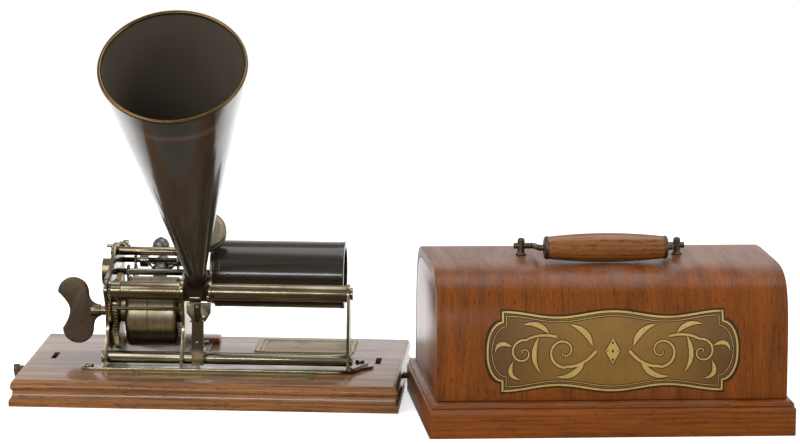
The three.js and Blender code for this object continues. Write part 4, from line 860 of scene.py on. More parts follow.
# Old gold is shaded by the distance from the lid's middle, in metres, and engraved at a pitch in millimetres
FIELD_FADE = (0.02, 0.095)
FIELD_SHADE = (0.0, 0.75)
ENGRAVING_PITCH = 1.9
ENGRAVING_EDGE = (0.2, 0.9)
ENGRAVING_SHARE = 0.35
FIELD_NOISE = (45.0, 4.0, 0.65)
FIELD_CLOUDS = (0.0, 0.5)
FIELD_ROUGHNESS = (0.34, 0.46)


def old_gold(name):
    """Varnished old gold, darker toward the ends, with fine engraved lines across it."""
    colours = bpy.context.scene.phonograph_colours
    material, place = new_material(name, "rim_brass")
    turn = math.radians(LID_TURN)
    middle = LID_CORNER[0] * math.cos(turn) + LID_CORNER[1] * math.sin(turn) + LID_MIDDLE
    along = part(turned(place, -LID_TURN), "X")
    faded = ramp((along - middle * MM).maths("ABSOLUTE"), FIELD_FADE, FIELD_SHADE)
    lines = (along * (FULL_TURN / (ENGRAVING_PITCH * MM))).maths("SINE")
    etched = ramp(lines, ENGRAVING_EDGE) * ENGRAVING_SHARE
    clouds = ramp(noise(place, *FIELD_NOISE), GILT_SHADE_EDGE, FIELD_CLOUDS)
    dark = faded.maths("MAXIMUM", etched).maths("MAXIMUM", clouds)
    shown = mixed(dark, rgba(colours.field), rgba(colours.field_dark))
    roughness = ramp(clouds, FIELD_CLOUDS, FIELD_ROUGHNESS)
    coat = {"Coat_Weight": 0.6, "Coat_Roughness": VARNISH_ROUGHNESS}
    return shade(material, shown, roughness, Metallic=0.3, **coat)


MICA_NOISE = (120.0, 4.0, 0.6, 0.8)
MICA_SHADE = (0.42, 0.34, 0.22, 1.0)
MICA_EDGE = (0.4, 0.7)
MICA_ROUGHNESS = (0.12, 0.3)


def mica_sheet(name):
    material, place = new_material(name, "mica")
    layers = noise(place, *MICA_NOISE)
    tint = mixed(ramp(layers, MICA_EDGE), rgba(bpy.context.scene.phonograph_colours.mica), MICA_SHADE)
    return shade(material, tint, ramp(layers, SOFT_EDGE, MICA_ROUGHNESS), Transmission_Weight=0.25)


OTHER_FINISHES = {
    "horn_enamel": horn_enamel,
    "horn_inside_painted_light": horn_enamel,
    "grooved_wax": grooved_wax,
    "mica_sheet": mica_sheet,
    "gilt": gilded,
    "ornament_field": old_gold,
}


@cache
def finish(name):
    """One of the part's materials, made when it is first asked for."""
    if name in OAKS:
        return oak(name, **OAKS[name])
    if name in METALS:
        return metal(name, *METALS[name])
    return OTHER_FINISHES[name](name)


# Moulded edges as (inset, height) shares, eased from the frame's own profiles
BASE_EDGE = traced(
    (0, 0), ((0, 0.12), (0, 0.24)), ((0.42, 0.27), (0.56, 0.57)), ((0.44, 0.62), (0.24, 0.66)),
    ((0.12, 0.73), (0.24, 0.8)), ((0.36, 0.98), (1, 1)),
)
BASE_EDGE_INSETS = (5, 5)
SLOT_EASE = Vector((0.1, 1.5, 0))
SLOT_RISE = 5
SLOT_SINK = 12
PLATE_EDGE = 0.2
PLATE_CORNER = 3
BORDER_INSET = 1.6
BORDER_WIDTH = 2.2
BORDER_GAP = 2.6
BORDER_HEIGHT = 0.25
BORDER_SINK = 0.05
BORDER_CORNER = 0.6
LATCH_EDGE = 0.8


def slot_cutter(side):
    """The hole for a catch plate, drawn from the clear space that the record states for it."""
    low, high = (Vector(place) / MM for place in OPENINGS[f"{side}_latch_slot"]["box_m"])
    low, high = low - SLOT_EASE, high + SLOT_EASE
    return block("slot_cutter", low - Z_AXIS * SLOT_SINK, high + Z_AXIS * SLOT_RISE)


def bordered_plate(node_name):
    """A bare metal plate with two raised borders, the inner one thinner."""
    dressed("sign_metal", PLATE_EDGE, node_name)
    low, high = corners(node_name)
    bottom, top = high.z - BORDER_SINK, high.z + BORDER_HEIGHT
    inset = BORDER_INSET
    for order, width in enumerate((BORDER_WIDTH, BORDER_WIDTH / 2)):
        outlines = []
        for reach in (inset, inset + width):
            radius = max(PLATE_CORNER - reach / 2, BORDER_CORNER)
            box = ((low.x + reach, low.y + reach), (high.x - reach, high.y - reach))
            outlines.append(rounded_rectangle(*box, radius))
        outer, inner = outlines
        rings = ((outer, bottom), (inner, bottom), (inner, top), (outer, top))
        points = [(a, b, height) for outline, height in rings for a, b in outline]
        border = make(f"{node_name}_border_{order + 1}", points, side_faces(4, len(outer), True))
        fitted(border, frame["nodes"][node_name]["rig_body"], "sign_edge")
        inset += width + BORDER_GAP


class PHONOGRAPH_OT_base(bpy.types.Operator):
    """Make the oak base, its plates, bedplate and latches"""

    bl_idname = "phonograph.base"
    bl_label = "Base"

    def execute(self, context):
        sizes = context.scene.phonograph_sizes
        board = moulding("base_whole", *corners("base_moulding"), BASE_EDGE_INSETS, BASE_EDGE)
        smooth(carved(board, *(slot_cutter(side) for side in SIDES)), sharp=30)
        fitted(board, "base", "base_oak", "base_board", "base_moulding")
        dressed("base_oak", sizes.wood_edge / MM, "rear_cleat")
        screws = ("foot_screw_left", "rear_foot_screw", "bracket_screw")
        dressed("nickel", sizes.edge / MM, "bedplate", *screws)
        bordered_plate("front_plate")
        bordered_plate("rear_plate")
        dressed("dark_metal", LATCH_EDGE, "latch_left", "latch_right", segments=3)
        return {"FINISHED"}


TUBE_BORE = 5
TUBE_EASE = 0.4
TUBE_SLOT_INSET = 4.15
TUBE_SLOT_WIDTH = 4


class PHONOGRAPH_OT_frame(bpy.types.Operator):
    """Make the frame plates, rods, guide tubes and right bracket"""

    bl_idname = "phonograph.frame"
    bl_label = "Motor frame"

    def execute(self, context):
        edge = context.scene.phonograph_sizes.edge / MM
        dressed("nickel", edge, "left_frame_plate", "right_frame_plate", "right_bracket", segments=3)
        dressed("nickel", edge, "upper_tie_rod")
        dressed("steel", edge, "lower_guide_rod")
        for name in ("guide_tube_left", "guide_tube"):
            left, right, radius = turned_size(name)
            profile = [(left, TUBE_BORE), (left, radius), (right, radius), (right, TUBE_BORE)]
            tube = turned_x(name + "_turned", eased(profile, TUBE_EASE), SCREW)
            if name == "guide_tube":
                half = Z_AXIS * TUBE_SLOT_WIDTH / 2
                low = Vector((left + TUBE_SLOT_INSET, SCREW.y, SCREW.z)) - half
                high = Vector((right - TUBE_SLOT_INSET, SCREW.y + radius + 1, SCREW.z)) + half
                smooth(carved(tube, block("slot_cutter", low, high)))
            fitted(tube, "base", "nickel", name)
        return {"FINISHED"}


BARREL_SHELL = (-71.5, -28.6)
BARREL_SEAM = -52.8
SEAM_HALF = 0.5
SEAM_SLOPE = 0.3
SEAM_DEPTH = 0.5
BARREL_BORE = 4.3
BARREL_HUB = 9
BARREL_ROUND = 4.5
BARREL_STEPS = 8
RECESS_DEPTH = 0.7
RECESS_SLOPE = 0.6
RECESS_RIM = 9
RECESS_HUB = 4.4
RIVETS = 6
RIVET_INSET = 6.4
RIVET_SIZE = (1.5, 0.9)
SPRING_EDGE = 0.05
WHEEL_EDGE = 0.12
ARBOR_EDGE = 0.15
BRASS_WHEELS = ("great_wheel", "intermediate_wheel", "governor_wheel", "feed_drive_wheel")
STEEL_WORKS = (
    "winding_arbor", "ratchet_wheel", "click", "intermediate_arbor", "governor_arbor",
    "feed_drive_arbor", "mandrel_shaft", "stop_lever",
)


def barrel_profile(left, right, radius):
    """Left hub, rounded shell with a seam, and the recessed right end with its hub."""
    start, end = BARREL_SHELL
    seam_left, seam_right = BARREL_SEAM - SEAM_HALF, BARREL_SEAM + SEAM_HALF
    seam_floor = radius - SEAM_DEPTH
    rim, hub, floor = radius - RECESS_RIM, BARREL_HUB + RECESS_HUB, end - RECESS_DEPTH
    return traced(
        (left, BARREL_BORE), (left, BARREL_HUB), (start, BARREL_HUB), (start, radius - BARREL_ROUND),
        ((start, radius), (start + BARREL_ROUND, radius), BARREL_STEPS),
        (seam_left, radius), (seam_left + SEAM_SLOPE, seam_floor),
        (seam_right - SEAM_SLOPE, seam_floor), (seam_right, radius), (end - BARREL_ROUND, radius),
        ((end, radius), (end, radius - BARREL_ROUND), BARREL_STEPS),
        (end, rim), (floor, rim - RECESS_SLOPE), (floor, hub + RECESS_SLOPE), (end, hub),
        (end, BARREL_HUB), (right, BARREL_HUB), (right, BARREL_BORE),
    )


class PHONOGRAPH_OT_motor(bpy.types.Operator):
    """Make the spring barrel, the wheels and their arbors"""

    bl_idname = "phonograph.motor"
    bl_label = "Spring motor"

    def execute(self, context):
        left, right, radius = turned_size("spring_barrel")
        barrel = turned_x("barrel_turned", barrel_profile(left, right, radius), DRUM, FINE_SIDES)
        fitted(smooth(barrel, sharp=30), "spring_drum", "turned_nickel_and_highlight", "spring_barrel")
        ring = circle(DRUM.yz, radius - RIVET_INSET, RIVETS, 0.5 / RIVETS)
        for i, place in enumerate(ring):
            centre = (BARREL_SHELL[1], *place)
            bolt_head(f"barrel_rivet_{i + 1}", centre, RIVET_SIZE, "spring_drum", X_AXIS)
        dressed("steel", SPRING_EDGE, "mainspring", segments=1)
        dressed("wheel_brass", WHEEL_EDGE, *BRASS_WHEELS, segments=1)
        dressed("steel", ARBOR_EDGE, *STEEL_WORKS, segments=1)
        return {"FINISHED"}


# The key's two wings are parts of ovals; its waist lies between them
KEY_HUB = (-103, -94.7)
KEY_HUB_RADIUS = 5
KEY_HUB_EASE = 0.8
KEY_BORE = 4.15
KEY_FLOOR = 0.5
KEY_NECK = 6
KEY_END = 4.6
KEY_THICKNESS = 4
KEY_WAIST = -120.4
KEY_RISE = 15
KEY_UPPER = -117.4
KEY_LOWER = -113.4
KEY_OVAL = (12.9, 12.5)
KEY_STEPS = 24
KEY_EDGE = 1.4


def key_outline():
    x, z = KEY_HUB[1], DRUM.z
    above, below = z + KEY_RISE, z - KEY_RISE
    upper_side, lower_side = KEY_UPPER + KEY_OVAL[0], KEY_LOWER + KEY_OVAL[0]
    return traced(
        (x, z + KEY_END),
        ((upper_side, z + KEY_NECK), (upper_side, above)),
        *arc((KEY_UPPER, above), KEY_OVAL, 0, 0.5, KEY_STEPS)[1:],
        ((KEY_WAIST, z + KEY_NECK), (KEY_WAIST, z)),
        ((KEY_WAIST, z - KEY_NECK), (KEY_LOWER - KEY_OVAL[0], below)),
        *arc((KEY_LOWER, below), KEY_OVAL, 0.5, 1, KEY_STEPS)[1:],
        ((lower_side, z - KEY_NECK), (x, z - KEY_END)),
    )


class PHONOGRAPH_OT_key(bpy.types.Operator):
    """Make the winged winding key"""

    bl_idname = "phonograph.key"
    bl_label = "Winding key"

    def execute(self, context):
        front, back = DRUM.y - KEY_THICKNESS / 2, DRUM.y + KEY_THICKNESS / 2
        wings = slab("key_shape", key_outline(), front, back, facing)
        rounded_edges(wings, KEY_EDGE, segments=4, sharp=50)
        fitted(smooth(wings, sharp=45), "winding", "dark_metal", "winding_key")
        left, right = KEY_HUB
        floor = left + KEY_FLOOR
        hub = [(left, 0), (left, KEY_HUB_RADIUS), (right, KEY_HUB_RADIUS), (right, KEY_BORE)]
        hub += [(floor, KEY_BORE), (floor, 0)]
        piece = turned_x("key_hub", eased(hub, KEY_HUB_EASE), DRUM, SMALL_SIDES)
        fitted(piece, "winding", "nickel")
        return {"FINISHED"}


GOVERNOR_RADII = (2.35, 5, 8)
GOVERNOR_FLANGE = 1.8
GOVERNOR_EASE = 0.35
SPEED_SCREW_EDGE = 0.3
LEAF_ENDS = (-61.85, -38.15)
LEAF_LANDS = (0.5, 1.2)
LEAF_FOOT = 4.6
LEAF_SIZE = (4, 0.8)
LEAF_STEPS = 14
LEAF_EDGE = 0.12
BALLS = 3
BALL_ORBIT = 12.5
BALL_SHIFT = -1.5
BALL_RADIUS = 7.2
BALL_TURN = 8
BALL_STEPS = 20
PIN_EASE = 0.3
PIN_SIDES = 24
PIN_SIZE = (1.7, 0.9)
PIN_SINK = 0.5


def governor_ball(index):
    """A ball clasped on its arched leaf, turned to its place round the spindle."""
    left, right = LEAF_ENDS
    foot, orbit = LEAF_FOOT, BALL_ORBIT
    bend, land = LEAF_LANDS
    middle = (left + right) / 2 + BALL_SHIFT
    line = traced(
        (left, foot),
        ((left + bend, foot), (left + land, foot)),
        (((left + middle) / 2, orbit), (middle, orbit), LEAF_STEPS),
        (((right + middle) / 2, orbit), (right - land, foot), LEAF_STEPS),
        ((right - bend, foot), (right, foot)),
    )
    half, rise = LEAF_SIZE[0] / 2, LEAF_SIZE[1] / 2
    outline = [(x, z - rise) for x, z in line] + [(x, z + rise) for x, z in line[::-1]]
    leaf = slab("leaf", outline, -half, half, facing)
    rounded_edges(leaf, LEAF_EDGE, segments=1, sharp=50)
    bow = [*arc((0, 0), (-BALL_RADIUS, BALL_RADIUS), 0, 0.5, BALL_STEPS)[:-1], (BALL_RADIUS, 0)]
    ball = lathe("ball", bow, (middle, 0, orbit), X_AXIS, 2 * BALL_STEPS)
    radius, height = PIN_SIZE
    head = eased([(0, 0), (0, radius), (height, radius), (height, 0)], PIN_EASE)
    pin = lathe("pin", head, (middle, 0, orbit + BALL_RADIUS - PIN_SINK), Z_AXIS, PIN_SIDES)
    weight = joined(f"governor_ball_{index + 1}", leaf, ball, pin)
    turn = Matrix.Rotation(math.radians(BALL_TURN) + FULL_TURN * index / BALLS, 4, "X")
    weight.data.transform(Matrix.Translation(Vector((0, GOVERNOR.y, GOVERNOR.z)) * MM) @ turn)
    fitted(smooth(weight, sharp=45), "governor", "governor_metal", f"governor_weight_{index + 1}")


class PHONOGRAPH_OT_governor(bpy.types.Operator):
    """Make the governor's spindle, sleeve and sprung balls, and the speed screw"""

    bl_idname = "phonograph.governor"
    bl_label = "Governor"

    def execute(self, context):
        dressed("steel", ARBOR_EDGE, "governor_spindle", segments=1)
        left, right, disc = turned_size("governor_disc")
        bore, sleeve, flange = GOVERNOR_RADII
        near, far = left + GOVERNOR_FLANGE, right - GOVERNOR_FLANGE
        profile = [(left, bore), (left, flange), (near, flange), (near, sleeve)]
        profile += [(far, sleeve), (far, disc), (right, disc), (right, bore)]
        piece = turned_x("governor_disc_turned", eased(profile, GOVERNOR_EASE), GOVERNOR)
        fitted(piece, "governor", "governor_metal", "governor_disc")
        for index in range(BALLS):
            governor_ball(index)
        dressed("nickel", SPEED_SCREW_EDGE, "speed_screw")
        return {"FINISHED"}


# The strap's tongue, as shares of its half width, and the heads on it and on the arm behind
TONGUE_SHOULDER = (0.55, 0.4)
TONGUE_TIP = 0.4
FEED_SCREW_EDGE = 0.2
STRAP_EDGE = 0.3
HEAD_RISE = 0.25
HEAD_HEIGHT = 0.8
STRAP_SCREW = (0, 3.4, 1.3)
ARM_HEADS = ((0, 33, 1.6), (-5, 15, 1.1), (5, 15, 1.1))


class PHONOGRAPH_OT_carriage(bpy.types.Operator):
    """Make the feed screw and the carriage that it drives along the guide tube"""

    bl_idname = "phonograph.carriage"
    bl_label = "Feed and carriage"

    def execute(self, context):
        edge = context.scene.phonograph_sizes.edge / MM
        dressed("steel", FEED_SCREW_EDGE, "feed_screw", segments=1)
        dressed("nickel", edge, "carriage", segments=3)
        self.strap()
        dressed("steel", edge, "carriage_pin")
        return {"FINISHED"}

    def strap(self):
        """The tongue-shaped strap with its screw, and the rivets and the low screw of the arm behind it."""
        low, high = corners("carriage_strap")
        middle, half = (low.x + high.x) / 2, (high.x - low.x) / 2
        out, up = (half * share for share in TONGUE_SHOULDER)
        side = traced(
            (half, high.z),
            ((half, low.z + half), (out, low.z + up)),
            ((half * TONGUE_TIP, low.z), (0, low.z)),
        )
        outline = [(middle + x, z) for x, z in side] + [(middle - x, z) for x, z in side[-2::-1]]
        tongue = slab("strap_tongue", outline, low.y, high.y, facing)
        rounded_edges(tongue, STRAP_EDGE, segments=3)
        fitted(tongue, "travelling_carriage", "copper_brown", "carriage_strap")
        heads = [(low.y, *STRAP_SCREW), *((high.y, *head) for head in ARM_HEADS)]
        for order, (y, x, drop, radius) in enumerate(heads):
            place = (middle + x, y + HEAD_RISE, high.z - drop)
            size = (radius, HEAD_HEIGHT)
            bolt_head(f"arm_head_{order + 1}", place, size, "travelling_carriage", (0, -1, 0))


# The neck's path and the housing's axis, as (y, z) places
NECK_X = -10
NECK_RADIUS = 4.45
SOCKET_EDGE = 0.3
MICA_ROUNDING = 0.1
NECK_PATH = (
    (-4.56, 131.7), (-8.94, 135.57), (-15.5, 138.2), (-25.5, 134.4), (-35.4, 122), (-41.78, 108.52),
    (-43.6, 104.4),
)
DISC_FRONT = (-4, 131.2)
DISC_HEADING = (-0.749, 0.6626)

# The housing's profile: heights before its face, depths behind it, and radii
DISC_RADIUS = 18.15
DISC_ROUND = 2.6
DISC_DEPTH = 10.6
BOSS_RADIUS = 6.4
BOSS_BORE = 4.65
BOSS_HEIGHT = 4
BOSS_WAIST = 1.2
BOSS_EASE = 0.4
BOSS_SLOPE = 1

# The bead round its face: heights at its end and bend, and its start, bend and end in from the rim
BEAD_HEIGHTS = (0.15, 0.5)
BEAD_PLACES = (5.4, 5, 4.2)
FACE_DROP = 0.2
RIM_GROOVE = ((4.4, 0), (4.7, 0.35), (5.1, 0.35), (5.4, 0))
BACK_STEPS = ((7.65, 15.15), (7.65, 13.5), (6.45, 13.5), (6.45, 3))
FACE_FLOOR = 0.6
FACE_SCREWS = 3
FACE_SCREW_RING = 10
FACE_SCREW_SIZE = (1.25, 0.7)
EAR_ROOT = (-11.3, 113.7)
EAR_PIVOT = (-4.76, 109.51)
EAR_RADII = (1.8, 0.9)
EAR_REACH = (1.8, 3.8)


def shell_profile():
    """Boss, beaded face, rolled rim and the open back of the housing."""
    disc, depth = DISC_RADIUS, DISC_DEPTH
    bead, crest = BEAD_HEIGHTS
    start, crown, end = BEAD_PLACES
    return traced(
        (BOSS_HEIGHT, BOSS_BORE), (BOSS_HEIGHT, BOSS_RADIUS - BOSS_EASE),
        (BOSS_HEIGHT - BOSS_EASE, BOSS_RADIUS),
        (BOSS_WAIST, BOSS_RADIUS),
        (BOSS_WAIST - BOSS_SLOPE, BOSS_RADIUS + BOSS_SLOPE),
        (0, BOSS_RADIUS + BOSS_WAIST), (0, disc - start),
        ((crest, disc - crown), (bead, disc - end), 5),
        ((0, disc - FACE_DROP), (-DISC_ROUND, disc), 8),
        *((-back, disc - sunk) for back, sunk in RIM_GROOVE), (DISC_ROUND - depth, disc),
        ((-depth, disc), (-depth, disc - DISC_ROUND)), (-depth, BACK_STEPS[0][1]),
        *((-back, radius) for back, radius in BACK_STEPS), (FACE_FLOOR, BACK_STEPS[-1][1]),
        (FACE_FLOOR, BOSS_BORE),
    )


def ear(side):
    """One of the two ears that carry the stylus lever's pin."""
    root, pivot = Vector(EAR_ROOT), Vector(EAR_PIVOT)
    along = (pivot - root).normalized()
    beside = Vector((-along.y, along.x))
    outline = []
    for centre, radius, start in zip((pivot, root), EAR_RADII, (-0.25, 0.25)):
        bow = arc((0, 0), (radius, radius), start, start + 0.5, 12)
        outline += [tuple(centre + along * a + beside * b) for a, b in bow]
    return slab("ear", outline, *sorted(NECK_X + side * reach for reach in EAR_REACH), lengthwise)


class PHONOGRAPH_OT_reproducer(bpy.types.Operator):
    """Make the block, the sound neck, the reproducer and its stylus"""

    bl_idname = "phonograph.reproducer"
    bl_label = "Reproducer"

    def execute(self, context):
        dressed("copper_brown", SOCKET_EDGE, "reproducer_socket", segments=3)
        path = smooth_path([Vector((NECK_X, *place)) for place in NECK_PATH])
        neck = tube_along("neck_tube", path, NECK_RADIUS, X_AXIS)
        fitted(neck, "sound_arm", "nickel", "reproducer_neck")
        foot = Vector((NECK_X, *DISC_FRONT))
        heading = Vector((0, *DISC_HEADING)).normalized()
        shell = smooth(lathe("shell", shell_profile(), foot, heading, FINE_SIDES), sharp=32)
        housing = joined("reproducer_shell", shell, ear(-1), ear(1))
        fitted(smooth(housing, sharp=32), "sound_arm", "reproducer_face", "reproducer")
        across = heading.cross(X_AXIS)
        ring = circle((0, 0), FACE_SCREW_RING, FACE_SCREWS, 0.5 / FACE_SCREWS)
        for i, (a, b) in enumerate(ring):
            place = foot + X_AXIS * a + across * b
            bolt_head(f"face_screw_{i + 1}", place, FACE_SCREW_SIZE, "sound_arm", heading)
        dressed("mica_sheet", MICA_ROUNDING, "diaphragm", segments=1)
        dressed("steel", ARBOR_EDGE, "stylus_lever")
        return {"FINISHED"}


HORN_FERRULE = (6, 15)
HORN_FERRULE_RADIUS = 7.6
HORN_FERRULE_SLOPE = 0.6
HORN_RINGS = 40
HORN_LENGTH = 263.5
HORN_MOUTH = 56.4
HORN_ROOT = 5.8
HORN_FLARE = 1.08
HORN_WALL = 1
RIM_RADIUS = 1.58
RIM_GAP = 0.15
RIM_STEPS = 20


class PHONOGRAPH_OT_horn(bpy.types.Operator):
    """Make the enamelled horn and its rolled brass rim"""

    bl_idname = "phonograph.horn"
    bl_label = "Horn"

    def execute(self, context):
        start, end = HORN_FERRULE
        outer = [(start, HORN_FERRULE_RADIUS), (end - HORN_FERRULE_SLOPE, HORN_FERRULE_RADIUS)]
        for i in range(HORN_RINGS + 1):
            station = end + (HORN_LENGTH - end) * i / HORN_RINGS
            flare = (station / HORN_LENGTH) ** HORN_FLARE
            outer.append((station, HORN_ROOT + (HORN_MOUTH - HORN_ROOT) * flare))
        inner = [(station, radius - HORN_WALL) for station, radius in outer]
        horn = lathe("horn_shell", [*outer, *inner[::-1]], HORN_FOOT, HORN_AXIS, FINE_SIDES)
        fitted(smooth(horn, sharp=30), "sound_horn", "horn_enamel", "horn")
        horn.data.materials.append(finish("horn_inside_painted_light"))
        for face in horn.data.polygons:
            ring = face.index // FINE_SIDES
            face.material_index = int(len(outer) <= ring < 2 * len(outer) - 1)
        middle = (HORN_LENGTH + RIM_GAP + RIM_RADIUS, HORN_MOUTH - HORN_WALL / 2)
        rim = lathe("rim_ring", circle(middle, RIM_RADIUS, RIM_STEPS), HORN_FOOT, HORN_AXIS, FINE_SIDES)
        fitted(smooth(rim, sharp=60), "sound_horn", "rim_brass", "horn_rim")
        return {"FINISHED"}


MANDREL_RADII = (23.4, 22.6)
MANDREL_FLANGE = 2.6
MANDREL_EASE = 0.4
MANDREL_END = 4
MANDREL_WALL = 2
MANDREL_BORE = 2.95
MANDREL_HUB = 6.5
MANDREL_HUB_END = 42
RECORD_BORES = (23.7, 22.9)
RECORD_ROUND = 0.9
RECORD_LANDS = (5.2, 4.2)
RECORD_SLOPE = 0.3
GROOVE_DEPTH = 0.2


class PHONOGRAPH_OT_record(bpy.types.Operator):
    """Make the mandrel and the wax record on it"""

    bl_idname = "phonograph.record"
    bl_label = "Mandrel and record"

    def execute(self, context):
        left, right, flange = turned_size("mandrel")
        body, tip = MANDREL_RADII
        shoulder, inside = left + MANDREL_FLANGE, left + MANDREL_END
        profile = [(left, MANDREL_BORE), (left, flange), (shoulder, flange), (shoulder, body)]
        profile += [(right, tip), (right, tip - MANDREL_WALL), (inside, body - MANDREL_WALL)]
        profile += [(inside, MANDREL_HUB), (MANDREL_HUB_END, MANDREL_HUB), (MANDREL_HUB_END, MANDREL_BORE)]
        mandrel = turned_x("mandrel_turned", eased(profile, MANDREL_EASE), SHAFT, FINE_SIDES)
        fitted(mandrel, "turning_mandrel", "turned_nickel_and_highlight", "mandrel")
        left, right, radius = turned_size("record_cylinder")
        near, far = RECORD_BORES
        start, end = left + RECORD_LANDS[0], right - RECORD_LANDS[1]
        grooved, corner = radius - GROOVE_DEPTH, radius - RECORD_ROUND
        profile = traced(
            (left, near), (left, corner), ((left, radius), (left + RECORD_ROUND, radius)),
            (start, radius), (start + RECORD_SLOPE, grooved), (end - RECORD_SLOPE, grooved), (end, radius),
            (right - RECORD_ROUND, radius), ((right, radius), (right, corner)), (right, far),
        )
        record = smooth(turned_x("record_turned", profile, SHAFT, FINE_SIDES), sharp=25)
        fitted(record, "record", "grooved_wax", "record_cylinder")
        return {"FINISHED"}


LID_EDGE = traced(
    (0, 0), ((0, 0.4), (0, 0.77)), ((0.06, 0.81), (0.32, 0.82)), ((0.10, 0.86), (0.24, 0.9)),
    ((0.32, 0.985), (1, 1)),
)
LID_PLINTH = 27.7
PLINTH_EDGE = 0.6
LID_INSETS = (6.1, 7.5)
LID_WALL = 8
BOARD_GAP = 0.1
ARCH_BASE = 28
ARCH_RISE = 100.4
ARCH_HALF = 92.5
ARCH_POWER = 5.2
ARCH_STEPS = 72


def set_on_lid(piece):
    """Moves a piece drawn square to the lid to the lid's place."""
    turn = Matrix.Rotation(math.radians(LID_TURN), 4, "Z")
    piece.data.transform(Matrix.Translation(Vector((*LID_CORNER, 0)) * MM) @ turn)
    return piece


def arch(inset):
    """The lid's arch as (y, z) pairs from the back to the front, drawn in by an inset."""
    points = []
    for a, b in arc((0, 0), (1, 1), 0, 0.5, ARCH_STEPS):
        across = math.copysign(abs(a) ** (2 / ARCH_POWER), a) * (ARCH_HALF - inset)
        up = max(b, 0) ** (2 / ARCH_POWER) * (ARCH_RISE - inset)
        points.append((LID_DEPTH / 2 + across, ARCH_BASE + up))
    return points


class PHONOGRAPH_OT_lid(bpy.types.Operator):
    """Make the arched oak lid on its moulded plinth"""

    bl_idname = "phonograph.lid"
    bl_label = "Lid"

    def execute(self, context):
        edge = context.scene.phonograph_sizes.wood_edge / MM
        box = (Vector((0, 0, 0)), Vector((LID_LENGTH, LID_DEPTH, LID_PLINTH)))
        wall = [inset + LID_WALL for inset in LID_INSETS]
        plinth = moulding("lid_edge", *box, LID_INSETS, LID_EDGE, wall)
        for face in plinth.data.polygons:
            face.material_index = face.index % 2
        set_on_lid(rounded_edges(plinth, PLINTH_EDGE, sharp=60))
        fitted(plinth, "lid", "lid_oak", "lid_plinth")
        plinth.data.materials.append(finish("lid_oak_ends"))
        start, end = LID_INSETS[0], LID_LENGTH - LID_INSETS[0]
        cover = slab("cover_arch", [*arch(0), *arch(LID_WALL)[::-1]], start, end, lengthwise)
        rounded_edges(set_on_lid(cover), edge, segments=3)
        fitted(cover, "lid", "lid_oak_bent", "lid_cover")
        outline = arch(LID_WALL + BOARD_GAP)
        for side, left in zip(SIDES, (start, end - LID_WALL)):
            board = slab(f"end_board_{side}", outline, left, left + LID_WALL, lengthwise)
            rounded_edges(set_on_lid(board), edge / 3)
            fitted(board, "lid", "lid_oak_boards", f"lid_end_{side}")
        return {"FINISHED"}


# Places of the handle as (y, z), and its lengths along the lid from the middle
EYE_PIVOT = (98, 136)
EYE_PROFILE = ((0, 0), (0, 4.6), (1.2, 4.2), (2, 2.9), (12.6, 2.9), (13.7, 1.7))
EYE_EASE = 1.2
GRIP_PLACE = (60, 140.2)
GRIP_HALF = 49
GRIP_RADII = (11.5, 8.5)
GRIP_STEPS = 12
BAIL_ARM = 52.4
BAIL_HALF = 68.5
BAIL_BEND = 4.6
BAIL_RADIUS = 2.4
BAIL_EDGE = 0.5
BAIL_ROOM = 0.3
FERRULE = 3
FERRULE_EDGES = ((1.2, 0.75), (1.6, 0.5))
FERRULE_RISE = 0.7
FERRULE_ROUND = 2


def bent(stops):
    """A path through straight parts joined by short bends."""
    path = [stops[0]]
    for before, corner, after in zip(stops, stops[1:], stops[2:]):
        start = corner + (before - corner).normalized() * BAIL_BEND
        end = corner + (after - corner).normalized() * BAIL_BEND
        path += [start, *(Vector(point) for point in bowed(start, corner, end, 8))]
    return [*path, stops[-1]]


def wooden_grip():
    """A turned grip, swelled in the middle, with a dark ferrule at each end."""
    foot = (LID_MIDDLE, *GRIP_PLACE)
    middle, end = GRIP_RADII
    reach, bore = GRIP_HALF - FERRULE, BAIL_RADIUS + BAIL_ROOM
    stations = [reach * i / GRIP_STEPS for i in range(-GRIP_STEPS, GRIP_STEPS + 1)]
    swell = [(x, end + (middle - end) * (1 - (x / GRIP_HALF) ** 2)) for x in stations]
    wood = smooth(lathe("grip_wood", [(-reach, bore), *swell, (reach, bore)], foot, X_AXIS), sharp=40)
    fitted(set_on_lid(wood), "grip", "grip_oak", "handle_grip")
    cap = traced(
        (reach, bore), (reach, end + FERRULE_RISE),
        *((reach + out, end + up) for out, up in FERRULE_EDGES),
        ((GRIP_HALF, end), (GRIP_HALF, end - FERRULE_ROUND), 5), (GRIP_HALF, bore),
    )
    for side, axis in zip(SIDES, (-X_AXIS, X_AXIS)):
        ring = smooth(lathe(f"grip_ferrule_{side}", cap, foot, axis), sharp=40)
        fitted(set_on_lid(ring), "grip", "dark_metal")


